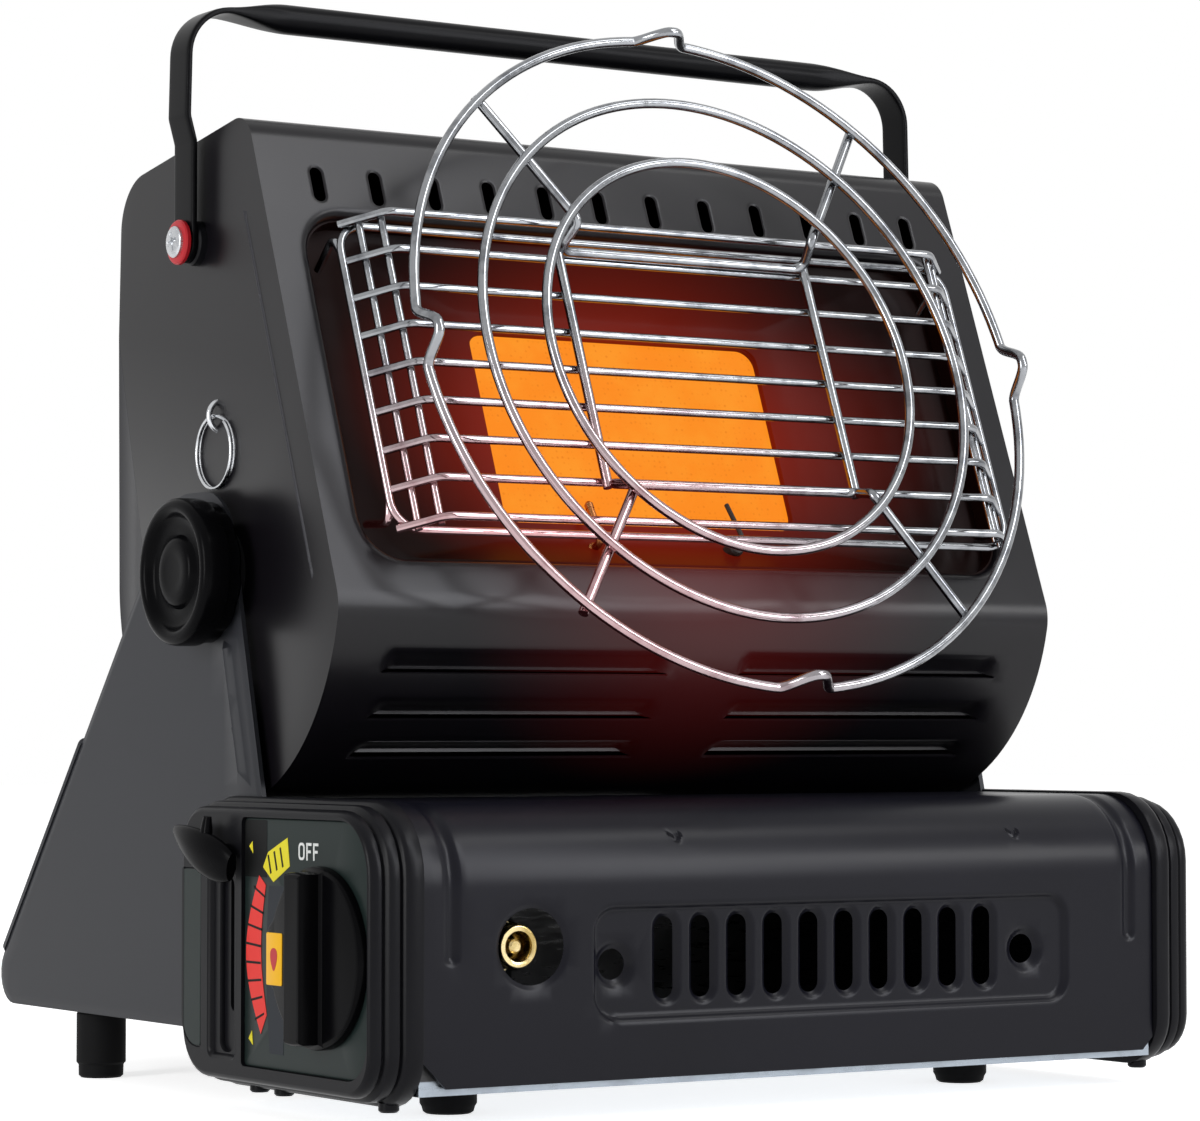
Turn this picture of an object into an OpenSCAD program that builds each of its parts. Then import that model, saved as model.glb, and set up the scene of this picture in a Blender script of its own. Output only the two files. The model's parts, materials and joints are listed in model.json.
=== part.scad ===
// Portable propane heater: a low cartridge housing between two side brackets carries a
// tilting heater head with a ceramic burner, a wire guard and a three-ring pot grate.
// Working axes: X across, Y from the housing's front face to the back, Z up from the floor.

/* [Housing] */
// Length over the two plastic end caps
housing_len = 300; // [296:1:306]
// Depth of the sheet-metal tray
housing_depth = 115; // [114:1:116]
// Top of the cartridge cover
cover_top = 92; // [90:0.5:92]
// Bending radius along the cover's top front edge
cover_bend = 24; // [16:1:30]
// Width of one plastic end cap
cap_w = 16; // [15:1:18]
// Height of the tray's floor above the table
tray_z = 10; // [9:0.5:11]
// Number of vent slots in the cover
cover_slots = 10; // [6:1:10]

/* [Head] */
// Radius of the head's round belly about the tilt axis
head_r = 72; // [70:0.5:73]
// Width of the head's wrap-around shell
head_w = 267; // [265:1:268]
// Backward lean of the front face, in degrees
face_lean = 21; // [18:0.5:24]
// Distance from the tilt axis to the front face
face_dist = 62.8; // [61:0.2:64]
// Height of the top sheet above the tilt axis, over the axis
head_top = 138; // [130:1:142]
// Number of vent slots above the burner
head_slots = 12; // [8:1:12]

/* [Tilt axis] */
// Distance of the tilt axis behind the cover's front face
pivot_y = 120.5; // [120:0.5:122]
// Height of the tilt axis
pivot_z = 160.5; // [160:0.5:163]
// Radius of the pivot bolts
bolt_r = 4; // [3:0.5:5]

/* [Grate] */
// Centre-line radius of the outer ring
ring_r = 110; // [100:1:112]
// Distance of the outer ring in front of the face
ring_off = 35; // [33:0.5:38]
// Radius of the ring wire
ring_wire = 1.6; // [1.4:0.1:1.8]
// Radius of the guard wire
guard_wire = 1.3; // [1:0.1:1.4]

/* [Handle] */
// Distance of the handle's pivot behind the cover's front face
handle_y = 139; // [137:0.5:141]
// Height of the handle's pivot
handle_z = 263.5; // [260:0.5:265]
// Rise of the grip above the handle's pivot
handle_rise = 73; // [70:1:80]
// Radius of the grip
grip_r = 4.7; // [4.3:0.1:5.5]

/* [Controls] */
// Radius of the gas knob's disc
gas_knob_r = 26; // [23:0.5:26]
// Radius of the tilt clamp knobs
tilt_knob_r = 22.5; // [18:0.5:23]
// Travel of the cartridge lock lever
lever_travel = 45; // [40:1:46]
// Distance the collar yoke draws the cartridge
yoke_travel = 8; // [6:0.5:8]

/* [Hidden] */
$fn = 64;

steel = "#2b2c30";
plastic = "#1b1c1f";
bright = "#d9dadc";
brass = "#c9a44b";

sheet = 1;
eps = 0.02;
fit = 0.05;
clear = 0.3;

// Widths measured from the middle plane
half_len = housing_len / 2;
cover_x = half_len - cap_w - clear;
shell_x = head_w / 2;
plate_x = shell_x - 2.5;
bracket_in = half_len - 14;
bracket_t = 1.5;
knob_in = bracket_in + bracket_t + clear;
knob_out = half_len + 1.5;
panel_x = half_len - 1;

// Cartridge bay
bay_y = 56;
bay_z = 49;
cartridge_r = 33;
port_z = bay_z;

// Gas controls on the left cap
knob_y = 29.5;
knob_z = 48;
knob_bar_x = half_len + 9.5;
knob_disc_x = half_len + 2.5;
stem_r = 3;
inlet_x = -100;
inlet_z = 51;
lever_y = 86.5;
lever_z = 77;
lever_tip_x = half_len + 10.5;

// Gas riser behind the tray, which ends in the swivel union on the tilt axis
riser_x = -118;
riser_z = 20.5;

// Stand: lower edge, rounded rear tip, legs and feet
bracket_low = 21.5;
stand_tip = [283, bracket_low];
stand_tip_r = 10;
stand_slope = 50.15;
leg_x = 127;
leg_y = 216;
leg_stud_r = 3;
foot_x = 95.5;
foot_y = 49.5;

// Cover hinge
hinge_y = 92;
hinge_z = 86.5;
hinge_pin_r = 1.5;

// Face frame: x across, h up the face, d out of the face, from the tilt axis
mid_h = 34.2;
ring_d = face_dist + ring_off;
guard_d = face_dist + 20;
stand_d = guard_d + guard_wire + ring_wire;
bump = 9;
belly_r = 15;
top_slope = 9;
rear_top_r = 18;
front_top_r = 10;

// Where the whole object's box lies, so that its bottom centre becomes the origin
low_bump_h = mid_h - ring_r;
front_reach = pivot_y + low_bump_h * sin(face_lean) - (ring_d + bump) * cos(face_lean) - ring_wire;
rear_reach = corner_mid([0, bracket_low], stand_tip, [rear_line_y(110), 110], stand_tip_r).x + stand_tip_r;
origin_x = (knob_out - lever_tip_x) / 2;
origin_y = (front_reach + rear_reach) / 2;

// ---------- helpers ----------

// Y of the stand's slanting rear edge at a height
function rear_line_y(z) = stand_tip.x - (z - bracket_low) / tan(stand_slope);
function unit(v) = v / norm(v);
function half_angle(a, b, c) = acos(unit(a - b) * unit(c - b)) / 2;
// Centre of the circle of radius r that rounds the corner at b
function corner_mid(a, b, c, r) = b + unit(unit(a - b) + unit(c - b)) * r / sin(half_angle(a, b, c));
// Points where that circle touches the corner's two sides
function corner_ends(a, b, c, r) = let (t = r / tan(half_angle(a, b, c)))
    r > 0 ? [b + unit(a - b) * t, b + unit(c - b) * t] : [b];

// Moves everything so that the origin is under the middle of the object
module place() {
    translate([-origin_x, -origin_y, 0]) children();
}

// Convex polygon with its own radius at each corner
module rounded_polygon(points, radii) {
    n = len(points);
    polygon([for (i = [0:n - 1])
        each corner_ends(points[(i + n - 1) % n], points[i], points[(i + 1) % n], radii[i])]);
    for (i = [0:n - 1])
        if (radii[i] > 0)
            translate(corner_mid(points[(i + n - 1) % n], points[i], points[(i + 1) % n], radii[i]))
                circle(r = radii[i]);
}

module rounded_rect(low, high, r) {
    rounded_polygon([low, [high.x, low.y], high, [low.x, high.y]], [r, r, r, r]);
}

// Extrudes an outline drawn in Y and Z between two x positions
module along_x(x0, x1) {
    translate([min(x0, x1), 0, 0]) rotate([90, 0, 90]) linear_extrude(abs(x1 - x0)) children();
}

// Cylinder along X between two x positions
module x_cyl(x0, x1, r) {
    translate([min(x0, x1), 0, 0]) rotate([0, 90, 0]) cylinder(r = r, h = abs(x1 - x0));
}

// Puts children into the face frame, which tilts with the head
module face() {
    translate([0, pivot_y, pivot_z]) rotate([90 - face_lean, 0, 0]) children();
}

module at_pivot() {
    translate([0, pivot_y, pivot_z]) children();
}

// Straight wire between two points
module rod(p, q, r) {
    d = q - p;
    translate(p) rotate([0, acos(d.z / norm(d)), atan2(d.y, d.x)]) cylinder(r = r, h = norm(d), $fn = 24);
}

// Wire bent at each inner point
module wire(points, r) {
    for (i = [0:len(points) - 2])
        rod(points[i], points[i + 1], r);
    for (i = [1:len(points) - 2])
        translate(points[i]) sphere(r = r + eps, $fn = 24);
}

module mirrored() {
    children();
    mirror([1, 0, 0]) children();
}

// ---------- housing ----------

module base_tray() color("#b9bcc0") place() {
    lip_h = 9;
    deck_y = hinge_y + 3;
    deck_z = 83;
    difference() {
        union() {
            along_x(-cover_x, cover_x) {
                translate([2, tray_z]) square([housing_depth - 2, sheet]);
                translate([2, tray_z]) square([sheet, lip_h]);
                translate([housing_depth - sheet, tray_z]) square([sheet, deck_z - tray_z + sheet]);
                translate([deck_y, deck_z]) square([housing_depth - deck_y, sheet]);
            }
            mirrored()
                along_x(cover_x - sheet, cover_x)
                    rounded_polygon([[3, tray_z], [housing_depth, tray_z], [housing_depth, deck_z],
                        [3, deck_z]], [2, 0, 0, 20]);
            mirrored()
                translate([73, 0, 0]) hinge_knuckle(14, deck_y + 1, deck_z);
        }
        translate([-half_len, knob_y, knob_z]) x_cyl(0, 40, 6);
        lever_slot();
        translate([riser_x, housing_depth - 3, riser_z]) rotate([-90, 0, 0]) cylinder(r = 4, h = 10);
        mirrored()
            for (p = rivet_points)
                translate([cover_x - 3, p.x, p.y]) x_cyl(0, 6, 3);
    }
}

// Barrel on the hinge line with a web to the point (web_y, web_z)
module hinge_knuckle(len, web_y, web_z) {
    difference() {
        union() {
            translate([0, hinge_y, hinge_z]) x_cyl(0, len, 3.2);
            along_x(0, len)
                polygon([[hinge_y + 1, hinge_z - 3], [web_y, web_z], [web_y, web_z + sheet],
                    [hinge_y + 2, hinge_z + 1]]);
        }
        translate([-1, hinge_y, hinge_z]) x_cyl(0, len + 2, hinge_pin_r);
    }
}

// Clearance for the lock lever's stem through the walls at the left end
module lever_slot() {
    along_x(-half_len - 1, -half_len + 20)
        rounded_rect([lever_y - 2.4, lever_z - lever_travel - 2.4], [lever_y + 2.4, lever_z + 2.4], 2.3);
}

cap_low = [-2, 6.6];
cap_high = [118, 92.8];

// Cap outline, shrunk by a step on every side
module cap_outline(in) {
    a = cap_low + [in, in];
    b = cap_high - [in, in];
    rounded_polygon([a, [b.x, a.y], b, [a.x, b.y]], [16 - in, 18 - in, 15 - in, 22 - in]);
}

// Hollow cap at the +X end: three stepped bands, open towards the housing
module end_cap() {
    wall = 2.4;
    difference() {
        union() {
            along_x(half_len - cap_w, half_len - 10) cap_outline(0);
            along_x(half_len - 10 - eps, half_len - 5) cap_outline(1.4);
            along_x(half_len - 5 - eps, half_len) cap_outline(2.8);
            for (y = [12, 73, 88])
                translate([half_len - 12.5, y, cap_low.y - 1.4]) cylinder(r = 3, h = 4);
        }
        along_x(half_len - cap_w - 1, half_len - 4.2) cap_outline(2.8 + wall);
        // Room for the head and the bracket behind the housing's shoulder
        translate([half_len - cap_w - 1, 86, 0]) cube([cap_w - 14 + bracket_t + 1.3, 44, 120]);
    }
}

module right_end_cap() color(plastic) place() {
    difference() {
        end_cap();
        along_x(half_len - 1.2, half_len + 1) rounded_rect([8, 20], [106, 82], 10);
    }
}

panel_low = [3, 14.5];
panel_high = [73, 87.5];

module left_end_cap() color(plastic) place() {
    difference() {
        mirror([1, 0, 0]) end_cap();
        along_x(-half_len - 1, -half_len + 1.8)
            rounded_rect(panel_low - [0.1, 0.1], panel_high + [0.1, 0.1], 9.1);
        translate([-half_len - 1, knob_y, knob_z]) x_cyl(0, 10, 7);
        lever_slot();
        // Pressed groove beside the lever's slot
        along_x(-half_len - 1, -half_len + 1) rounded_rect([95, 22], [98, 70], 1.4);
    }
}

module control_panel() color("#2c3537") place() {
    difference() {
        along_x(-panel_x, -half_len + 1.8) rounded_rect(panel_low, panel_high, 9);
        translate([-half_len, knob_y, knob_z]) x_cyl(-1, 5, 7);
    }
}

// ---------- stand ----------

rivet_points = [[18, 24], [18, 72], [100, 24]];
// Side view of one bracket: a leaning stand plate joined to the housing's side wall
module bracket_outline() {
    top_z = pivot_z + 25;
    rounded_polygon(
        [[100, bracket_low], stand_tip, [rear_line_y(top_z), top_z], [112, top_z], [88, 92], [80, 60]],
        [0, stand_tip_r, 20, 18, 0, 0]);
    rounded_rect([4, 15], [112, 84], 14);
}

module bracket(bore_r) {
    difference() {
        union() {
            along_x(bracket_in, bracket_in + bracket_t) bracket_outline();
            // Pressed rib beside the front edge
            hull() {
                translate([bracket_in + bracket_t, 99.5, 100]) sphere(r = 2.2, $fn = 16);
                translate([bracket_in + bracket_t, 109.5, 137]) sphere(r = 2.2, $fn = 16);
            }
            // Inward flange that carries the bottom plate and a rear leg
            translate([bracket_in - 16, 126, bracket_low]) cube([16 + eps, 130, 1.2]);
        }
        at_pivot() x_cyl(bracket_in - 5, bracket_in + 10, bore_r);
        for (p = rivet_points)
            translate([bracket_in - 1, p.x, p.y]) x_cyl(0, 4, 3);
        translate([leg_x, leg_y, bracket_low - 1]) cylinder(r = leg_stud_r + fit, h = 4);
    }
}

module right_bracket() color(steel) place() {
    bracket(bolt_r + fit);
}

module left_bracket() color(steel) place() {
    difference() {
        mirror([1, 0, 0]) bracket(bolt_r + fit);
        translate([-half_len, knob_y, knob_z]) x_cyl(0, 20, 6);
        lever_slot();
    }
}

module rear_cross_panel() color(steel) place() {
    x = bracket_in + bracket_t;
    t = 1.6;
    low = [rear_line_y(38), 38];
    high = [rear_line_y(109), 109];
    out = [sin(stand_slope), cos(stand_slope)] * t;
    along_x(-x, x) polygon([low, low + out, high + out, high]);
}

module bottom_plate() color(steel) place() {
    difference() {
        translate([-bracket_in + clear, 126, bracket_low + 1.2]) cube([2 * (bracket_in - clear), 134, 1.2]);
        mirrored()
            translate([leg_x, leg_y, bracket_low]) cylinder(r = leg_stud_r + fit, h = 4);
    }
}

module front_feet() color("#111213") place() {
    for (x = [-foot_x, foot_x])
        translate([x, foot_y, 0]) {
            translate([0, 0, 2]) cylinder(r = 8.5, h = tray_z - 2);
            cylinder(r = 7.5, h = 2 + eps);
        }
}

module rear_legs() color("#111213") place() {
    mirrored()
        translate([leg_x, leg_y, 0]) {
            translate([0, 0, 1.5]) cylinder(r = 8, h = bracket_low - 1.5);
            cylinder(r = 7, h = 1.5 + eps);
            cylinder(r = leg_stud_r, h = bracket_low + 4.5);
        }
}

module bracket_rivets() color(bright) place() {
    mirrored()
        for (p = rivet_points)
            translate([0, p.x, p.y]) {
                x_cyl(cover_x - 2, bracket_in + bracket_t + 0.8, 3 - 0.02);
                x_cyl(bracket_in + bracket_t, bracket_in + bracket_t + 0.8, 4.6);
                x_cyl(cover_x - 2, cover_x - sheet, 4.6);
            }
}

module cover_hinge_pins() color(bright) place() {
    mirrored()
        translate([72, hinge_y, hinge_z]) x_cyl(0, 34, hinge_pin_r - 0.01);
}

// ---------- gas supply ----------

module regulator() color("#9da0a3") place() {
    difference() {
        union() {
            translate([-128, 20, 26]) cube([36, 26, 44]);
            translate([-128, 44, 15]) cube([29, 35, 55]);
            translate([0, bay_y, port_z]) x_cyl(-100, -89, 9);
            translate([inlet_x, 17, inlet_z]) rotate([-90, 0, 0]) cylinder(r = 9.5, h = 6);
            translate([0, knob_y, knob_z]) x_cyl(-131, -127, 8);
            translate([riser_x, 78, riser_z]) rotate([-90, 0, 0]) cylinder(r = 4.5, h = 3);
            regulator_posts();
        }
        translate([0, knob_y, knob_z]) x_cyl(-132, -112, stem_r + fit);
        translate([0, bay_y, port_z]) x_cyl(-96, -88, 4);
        translate([inlet_x, 16, inlet_z]) rotate([-90, 0, 0]) cylinder(r = 5, h = 8);
        translate([riser_x, 70, riser_z]) rotate([-90, 0, 0]) cylinder(r = 3, h = 15);
    }
}

// Two posts that stand the regulator on the tray
module regulator_posts() {
    for (y = [24, 62])
        translate([-124, y, tray_z + sheet]) cube([24, 8, 20]);
}

module port_seal() color("#202020") place() {
    translate([-89, bay_y, port_z]) rotate([0, 90, 0])
        rotate_extrude() translate([6, 0.8]) circle(r = 0.8, $fn = 24);
}

module gas_inlet() color(brass) place() {
    translate([inlet_x, 0, inlet_z]) rotate([-90, 0, 0])
        difference() {
            union() {
                translate([0, 0, 6]) cylinder(r = 6.75, h = 9.5);
                translate([0, 0, 14.6]) cylinder(r = 9, h = 2.4, $fn = 6);
                translate([0, 0, 16]) cylinder(r = 5 - 0.02, h = 7);
            }
            translate([0, 0, 5]) cylinder(r = 4.2, h = 10);
        }
}

module inlet_valve_pin() color("#e0c070") place() {
    translate([inlet_x, 8, inlet_z]) rotate([-90, 0, 0]) {
        cylinder(r = 1.3, h = 7);
        translate([0, 0, 5]) cylinder(r = 3, h = 2);
    }
}

module piezo_igniter() color("#d8d3c4") place() {
    translate([0, 50, 17]) x_cyl(-96, -66, 4.5);
    translate([0, 50, 17]) x_cyl(-99, -96 + eps, 2);
    translate([-88, 46, tray_z + sheet]) cube([10, 8, 3]);
}

module cartridge_saddles() color("#b9bcc0") place() {
    for (x = [-50, 100])
        difference() {
            translate([x, bay_y - 20, tray_z + sheet]) cube([8, 40, 10]);
            translate([x - 1, bay_y, bay_z]) x_cyl(0, 10, cartridge_r + 0.5);
        }
}

module gas_riser() color(brass) place() {
    wire([[riser_x, 74, riser_z], [riser_x, pivot_y, riser_z], [riser_x, pivot_y, pivot_z],
        [-106, pivot_y, pivot_z]], stem_r - 0.02);
}

// ---------- cartridge cover ----------

module cover_profile(in) {
    difference() {
        rounded_polygon([[in, -20], [150, -20], [150, cover_top - in], [in, cover_top - in]],
            [0, 0, 0, cover_bend - in]);
        translate([90, -50]) square(200);
        translate([-10, -50]) square([200, 62]);
    }
}

slot_pitch = 13.1;
slots_x = 8.7;
slot_z = 46.5;

module cartridge_cover() color(steel) place() {
    difference() {
        along_x(-cover_x, cover_x)
            difference() {
                cover_profile(0);
                cover_profile(sheet);
            }
        for (i = [0:cover_slots - 1])
            translate([slots_x + (i - (cover_slots - 1) / 2) * slot_pitch, -5, slot_z])
                rotate([-90, 0, 0]) linear_extrude(10) {
                    square([5.5, 18.5], center = true);
                    for (s = [-1, 1]) translate([0, s * 9.25]) circle(r = 2.75);
                }
        for (x = [-68.2, 83.6])
            translate([x, -5, 45]) rotate([-90, 0, 0]) cylinder(r = 4.5, h = 10);
        translate([-97.2, -5, inlet_z]) rotate([-90, 0, 0]) cylinder(r = 11, h = 10);
        // Bottom corners cut off at 45 degrees
        mirrored()
            translate([cover_x, 0, 12]) rotate([0, 45, 0]) cube([11, 12, 11], center = true);
    }
}

module cover_hinge_leaves() color(steel) place() {
    mirrored()
        translate([89, 0, 0])
            difference() {
                union() {
                    translate([0, hinge_y, hinge_z]) x_cyl(0, 16, 3.2);
                    along_x(0, 16)
                        polygon([[hinge_y - 3, hinge_z], [hinge_y, hinge_z + 1], [89.8, cover_top - sheet],
                            [84, cover_top - sheet], [84, cover_top - sheet - 1.2], [88, cover_top - 2.4]]);
                }
                translate([-1, hinge_y, hinge_z]) x_cyl(0, 18, hinge_pin_r + fit);
            }
}

// ---------- controls ----------

module gas_knob() color(plastic) place() {
    base = panel_x + clear;
    pointer_r = 32.5;
    translate([0, knob_y, knob_z])
        difference() {
            union() {
                x_cyl(-base, -knob_disc_x, gas_knob_r);
                // Pointer tongue towards the scale
                along_x(-base, -knob_disc_x)
                    intersection() {
                        circle(r = pointer_r);
                        polygon([[0, 0], [60, -36], [60, 36]]);
                    }
                // Finger bar across the disc
                along_x(-knob_disc_x + eps, -knob_bar_x)
                    intersection() {
                        circle(r = gas_knob_r - 1.5);
                        translate([-5, -40]) square([10, 80]);
                    }
            }
            x_cyl(-base + 1, -half_len - 5, stem_r);
            // Seat for the pointer insert
            along_x(-knob_disc_x - 1, -knob_disc_x + 0.8) pointer_outline(0);
        }
}

module pointer_outline(in) {
    translate([22 + in, -7.6 + in]) square([9.4 - 2 * in, 15.2 - 2 * in]);
}

module knob_pointer() color("#f2c12e") place() {
    translate([0, knob_y, knob_z]) along_x(-knob_disc_x - 0.2, -knob_disc_x + 0.8) pointer_outline(0);
}

module knob_stem() color(bright) place() {
    translate([0, knob_y, knob_z]) x_cyl(-half_len - 4.9, -114, stem_r - 0.01);
}

module lock_lever() color(plastic) place() {
    // Beak-shaped thumb piece outside the cap
    hull() {
        translate([-half_len - 4, 100, lever_z + 3]) sphere(r = 3.4, $fn = 24);
        translate([-half_len - 7, 104, lever_z]) sphere(r = 3.5, $fn = 24);
        translate([-half_len - 3.6, lever_y - 4, lever_z - 3]) sphere(r = 3, $fn = 24);
        translate([-half_len - 3.4, lever_y + 2, lever_z + 8]) sphere(r = 3, $fn = 24);
    }
    translate([0, lever_y, lever_z]) x_cyl(-half_len - 4, -112, 2);
    translate([-115, lever_y, lever_z]) rotate([90, 0, 0]) cylinder(r = 1.5, h = 5.5);
}

// Yoke that grips the cartridge's collar; its slanted slot turns the lever's drop into a pull
module collar_yoke() color("#c4c6c9") place() {
    top = lever_z;
    low = lever_z - lever_travel;
    slot_x = -115;
    difference() {
        union() {
            translate([slot_x - 5, 82, low - 6]) cube([5 + yoke_travel + 7, 1.6, lever_travel + 10.5]);
            translate([slot_x + 8, 82, port_z - 15]) cube([-86 - slot_x - 8, 1.6, 30]);
            translate([-88, 50, port_z - 15]) cube([2, 33.6, 30]);
        }
        translate([slot_x, 80, top]) rotate([-90, 0, 0])
            linear_extrude(6) {
                polygon([[-1.56, 0], [1.56, 0], [yoke_travel + 1.56, lever_travel],
                    [yoke_travel - 1.56, lever_travel]]);
                circle(r = 1.56);
                translate([yoke_travel, lever_travel]) circle(r = 1.56);
            }
        translate([0, bay_y, port_z]) x_cyl(-90, -80, 12);
        translate([-90, 45, port_z - 12]) cube([6, 11, 24]);
    }
}

// ---------- head shell ----------

// Top corners of the shell's side view, shrunk by a sheet thickness
function top_z_at(y, in) = head_top - in / cos(top_slope) - tan(top_slope) * y;
function front_corner(in) = let (
    y = (top_z_at(0, in) * sin(face_lean) - face_dist + in)
        / (cos(face_lean) + tan(top_slope) * sin(face_lean)))
    [y, top_z_at(y, in)];
belly_out = face_dist - belly_r;
belly_down = sqrt(pow(head_r - belly_r, 2) - pow(belly_out, 2));
belly_mid = [-belly_out * cos(face_lean) - belly_down * sin(face_lean),
    belly_out * sin(face_lean) - belly_down * cos(face_lean)];

// Points along an arc between two angles
function arc_points(mid, r, from, to) = let (n = ceil((to - from) / 4))
    [for (i = [0:n]) let (a = from + (to - from) * i / n) mid + r * [cos(a), sin(a)]];

// Side view of the head about the tilt axis
module head_profile(in) {
    r = head_r - in;
    rear = [r, top_z_at(r, in)];
    front = front_corner(in);
    touch = belly_mid + [-cos(face_lean), sin(face_lean)] * (belly_r - in);
    belly_angle = 360 + atan2(belly_mid.y, belly_mid.x);
    polygon([
        each arc_points([0, 0], r, belly_angle, 360),
        each arc_points(corner_mid([r, 0], rear, front, rear_top_r - in), rear_top_r - in, 0, 90 - top_slope),
        each arc_points(corner_mid(rear, front, touch, front_top_r - in), front_top_r - in,
            90 - top_slope, 180 - face_lean),
        each arc_points(belly_mid, belly_r - in, 180 - face_lean, belly_angle - 4)]);
}

module shell_ring() {
    difference() {
        head_profile(0);
        head_profile(sheet);
    }
}

// Part of the shell that belongs to the rear cover
module rear_zone() {
    translate([36, -100]) square([100, 178]);
}

// Slot that lets the gas riser pass while the head tilts
module riser_slot() {
    at_pivot()
        along_x(riser_x - 5.5, riser_x + 5.5)
            intersection() {
                difference() {
                    circle(r = head_r + 3);
                    circle(r = head_r - 4);
                }
                polygon([[0, 0], for (a = [-108, -62, -17]) 200 * [cos(a), sin(a)]]);
            }
}

recess_x = 120;
recess_low = -20.6;
recess_high = 92.6;
head_slot_h = 102.9;
head_slot_pitch = 20.5;
louvre_z = [-31, -44.8, -56.5];

module front_shell() color(steel) place() {
    difference() {
        at_pivot()
            along_x(-shell_x, shell_x)
                difference() {
                    shell_ring();
                    rear_zone();
                }
        face()
            translate([0, 0, face_dist - 8]) linear_extrude(16) recess_outline(0);
        face()
            for (i = [0:head_slots - 1])
                translate([(i - (head_slots - 1) / 2) * head_slot_pitch, head_slot_h, face_dist - 6])
                    linear_extrude(12) {
                        square([4.2, 7.4], center = true);
                        for (s = [-1, 1]) translate([0, s * 3.7]) circle(r = 2.1);
                    }
        at_pivot()
            mirrored()
                for (z = louvre_z)
                    rotate([180 - asin(-z / head_r), 0, 0])
                        translate([12.5, head_r - 6, -1.2]) cube([104, 12, 2.4]);
        riser_slot();
    }
}

module rear_cover() color(steel) place() {
    difference() {
        at_pivot()
            along_x(-shell_x, shell_x)
                intersection() {
                    shell_ring();
                    rear_zone();
                }
        riser_slot();
    }
}

// Screws that join each side plate to the shell's inner brackets
shell_points = [[176, 268], [172, 123], [92, 118]];

// Side plate at the +X side with its pressed rib
module side_plate() {
    difference() {
        union() {
            at_pivot() along_x(plate_x - sheet, plate_x) head_profile(sheet + 0.1);
            face()
                hull() {
                    translate([plate_x, 98, face_dist - 13]) sphere(r = 1.6, $fn = 16);
                    translate([plate_x, -12, face_dist - 13]) sphere(r = 1.6, $fn = 16);
                }
        }
        at_pivot() x_cyl(plate_x - 5, plate_x + 5, bolt_r + 0.02);
        translate([0, handle_y, handle_z]) x_cyl(plate_x - 5, plate_x + 5, 2.5);
        for (p = shell_points)
            translate([plate_x, p.x, p.y]) x_cyl(-5, 5, 1.62);
    }
}

module right_side_plate() color(steel) place() {
    side_plate();
}

module left_side_plate() color(steel) place() {
    mirror([1, 0, 0]) side_plate();
}

module heat_shield() color("#8d9093") place() {
    at_pivot() {
        translate([-108, 46, -40]) cube([216, 1, 140]);
        mirrored()
            translate([100, 46, 60]) cube([8, 25, 1]);
    }
}

// ---------- burner ----------

plaque_x = 55;
plaque_h = 32.5;
plaque_d = face_dist - 21.5;

// Outlines of the plaque and of the face opening, grown by a margin
module plaque_outline(out) {
    rounded_rect([-plaque_x - out, mid_h - plaque_h - out], [plaque_x + out, mid_h + plaque_h + out], 6);
}

module recess_outline(out) {
    rounded_rect([-recess_x - out, recess_low - out], [recess_x + out, recess_high + out], 14);
}

// Dish between the plaque and the face opening
module reflector() color("#7d5048") place() {
    face()
        difference() {
            hull() {
                translate([0, 0, plaque_d - 1]) linear_extrude(1) plaque_outline(6);
                translate([0, 0, face_dist - 2.4]) linear_extrude(1) recess_outline(3);
            }
            hull() {
                translate([0, 0, plaque_d]) linear_extrude(1) plaque_outline(5);
                translate([0, 0, face_dist - 1.3]) linear_extrude(1) recess_outline(1.5);
            }
            translate([0, 0, plaque_d - 5]) linear_extrude(8) plaque_outline(0);
            // Holes for the electrode, the thermocouple and the guard's feet
            translate([26, mid_h - plaque_h - 9, plaque_d - 12]) cylinder(r = 2.6 + fit, h = 22);
            translate([-26, mid_h - plaque_h - 9, plaque_d - 12]) cylinder(r = 2.2 + fit, h = 22);
            for (x = [-guard_rim_x, guard_rim_x])
                for (s = [-1, 1])
                    rod([x, mid_h + s * (guard_half_h - 11), face_dist - 4 - 39 / 8],
                        [x, mid_h + s * guard_half_h, guard_rim_d - 2], guard_wire + fit);
        }
}

module burner_frame() color("#6b6e70") place() {
    face()
        translate([0, 0, plaque_d - 2.6])
            linear_extrude(1.5)
                difference() {
                    plaque_outline(6);
                    plaque_outline(0);
                }
}

module ceramic_plate() color("#ff9a3c") place() {
    face()
        translate([0, 0, plaque_d - 15.6])
            linear_extrude(13) plaque_outline(4);
}

module burner_housing() color("#8d9093") place() {
    face()
        difference() {
            translate([0, 0, plaque_d - 30]) linear_extrude(27.3) plaque_outline(6);
            translate([0, 0, plaque_d - 28.8]) linear_extrude(40) plaque_outline(4.3);
            translate([0, mid_h, -1]) cylinder(r = 8, h = plaque_d);
        }
}

module mixing_tube() color("#9da0a3") place() {
    face()
        translate([0, mid_h, 0])
            difference() {
                union() {
                    x_cyl(-72, 0, 8);
                    x_cyl(-78, -72 + eps, 10.5);
                    sphere(r = 8.02);
                    cylinder(r = 8 - 0.02, h = plaque_d - 29);
                }
                x_cyl(-79, 0, 6.8);
                sphere(r = 6.8);
                cylinder(r = 6.8, h = plaque_d);
            }
}

module injector_jet() color(brass) place() {
    face()
        translate([0, mid_h, 0]) {
            x_cyl(-80, -70, 2.5);
            translate([-88, 0, 0]) rotate([0, 90, 0]) cylinder(r = 6, h = 8, $fn = 6);
        }
}

module feed_pipe() color(brass) place() {
    face()
        wire([[-97, 0, 0], [-92, 0, 0], [-92, mid_h, 0], [-88, mid_h, 0]], 2.6);
}

module swivel_union() color(brass) place() {
    at_pivot()
        difference() {
            x_cyl(-112, -97, 6);
            x_cyl(-113, -101, stem_r + 0.03);
        }
}

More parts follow.
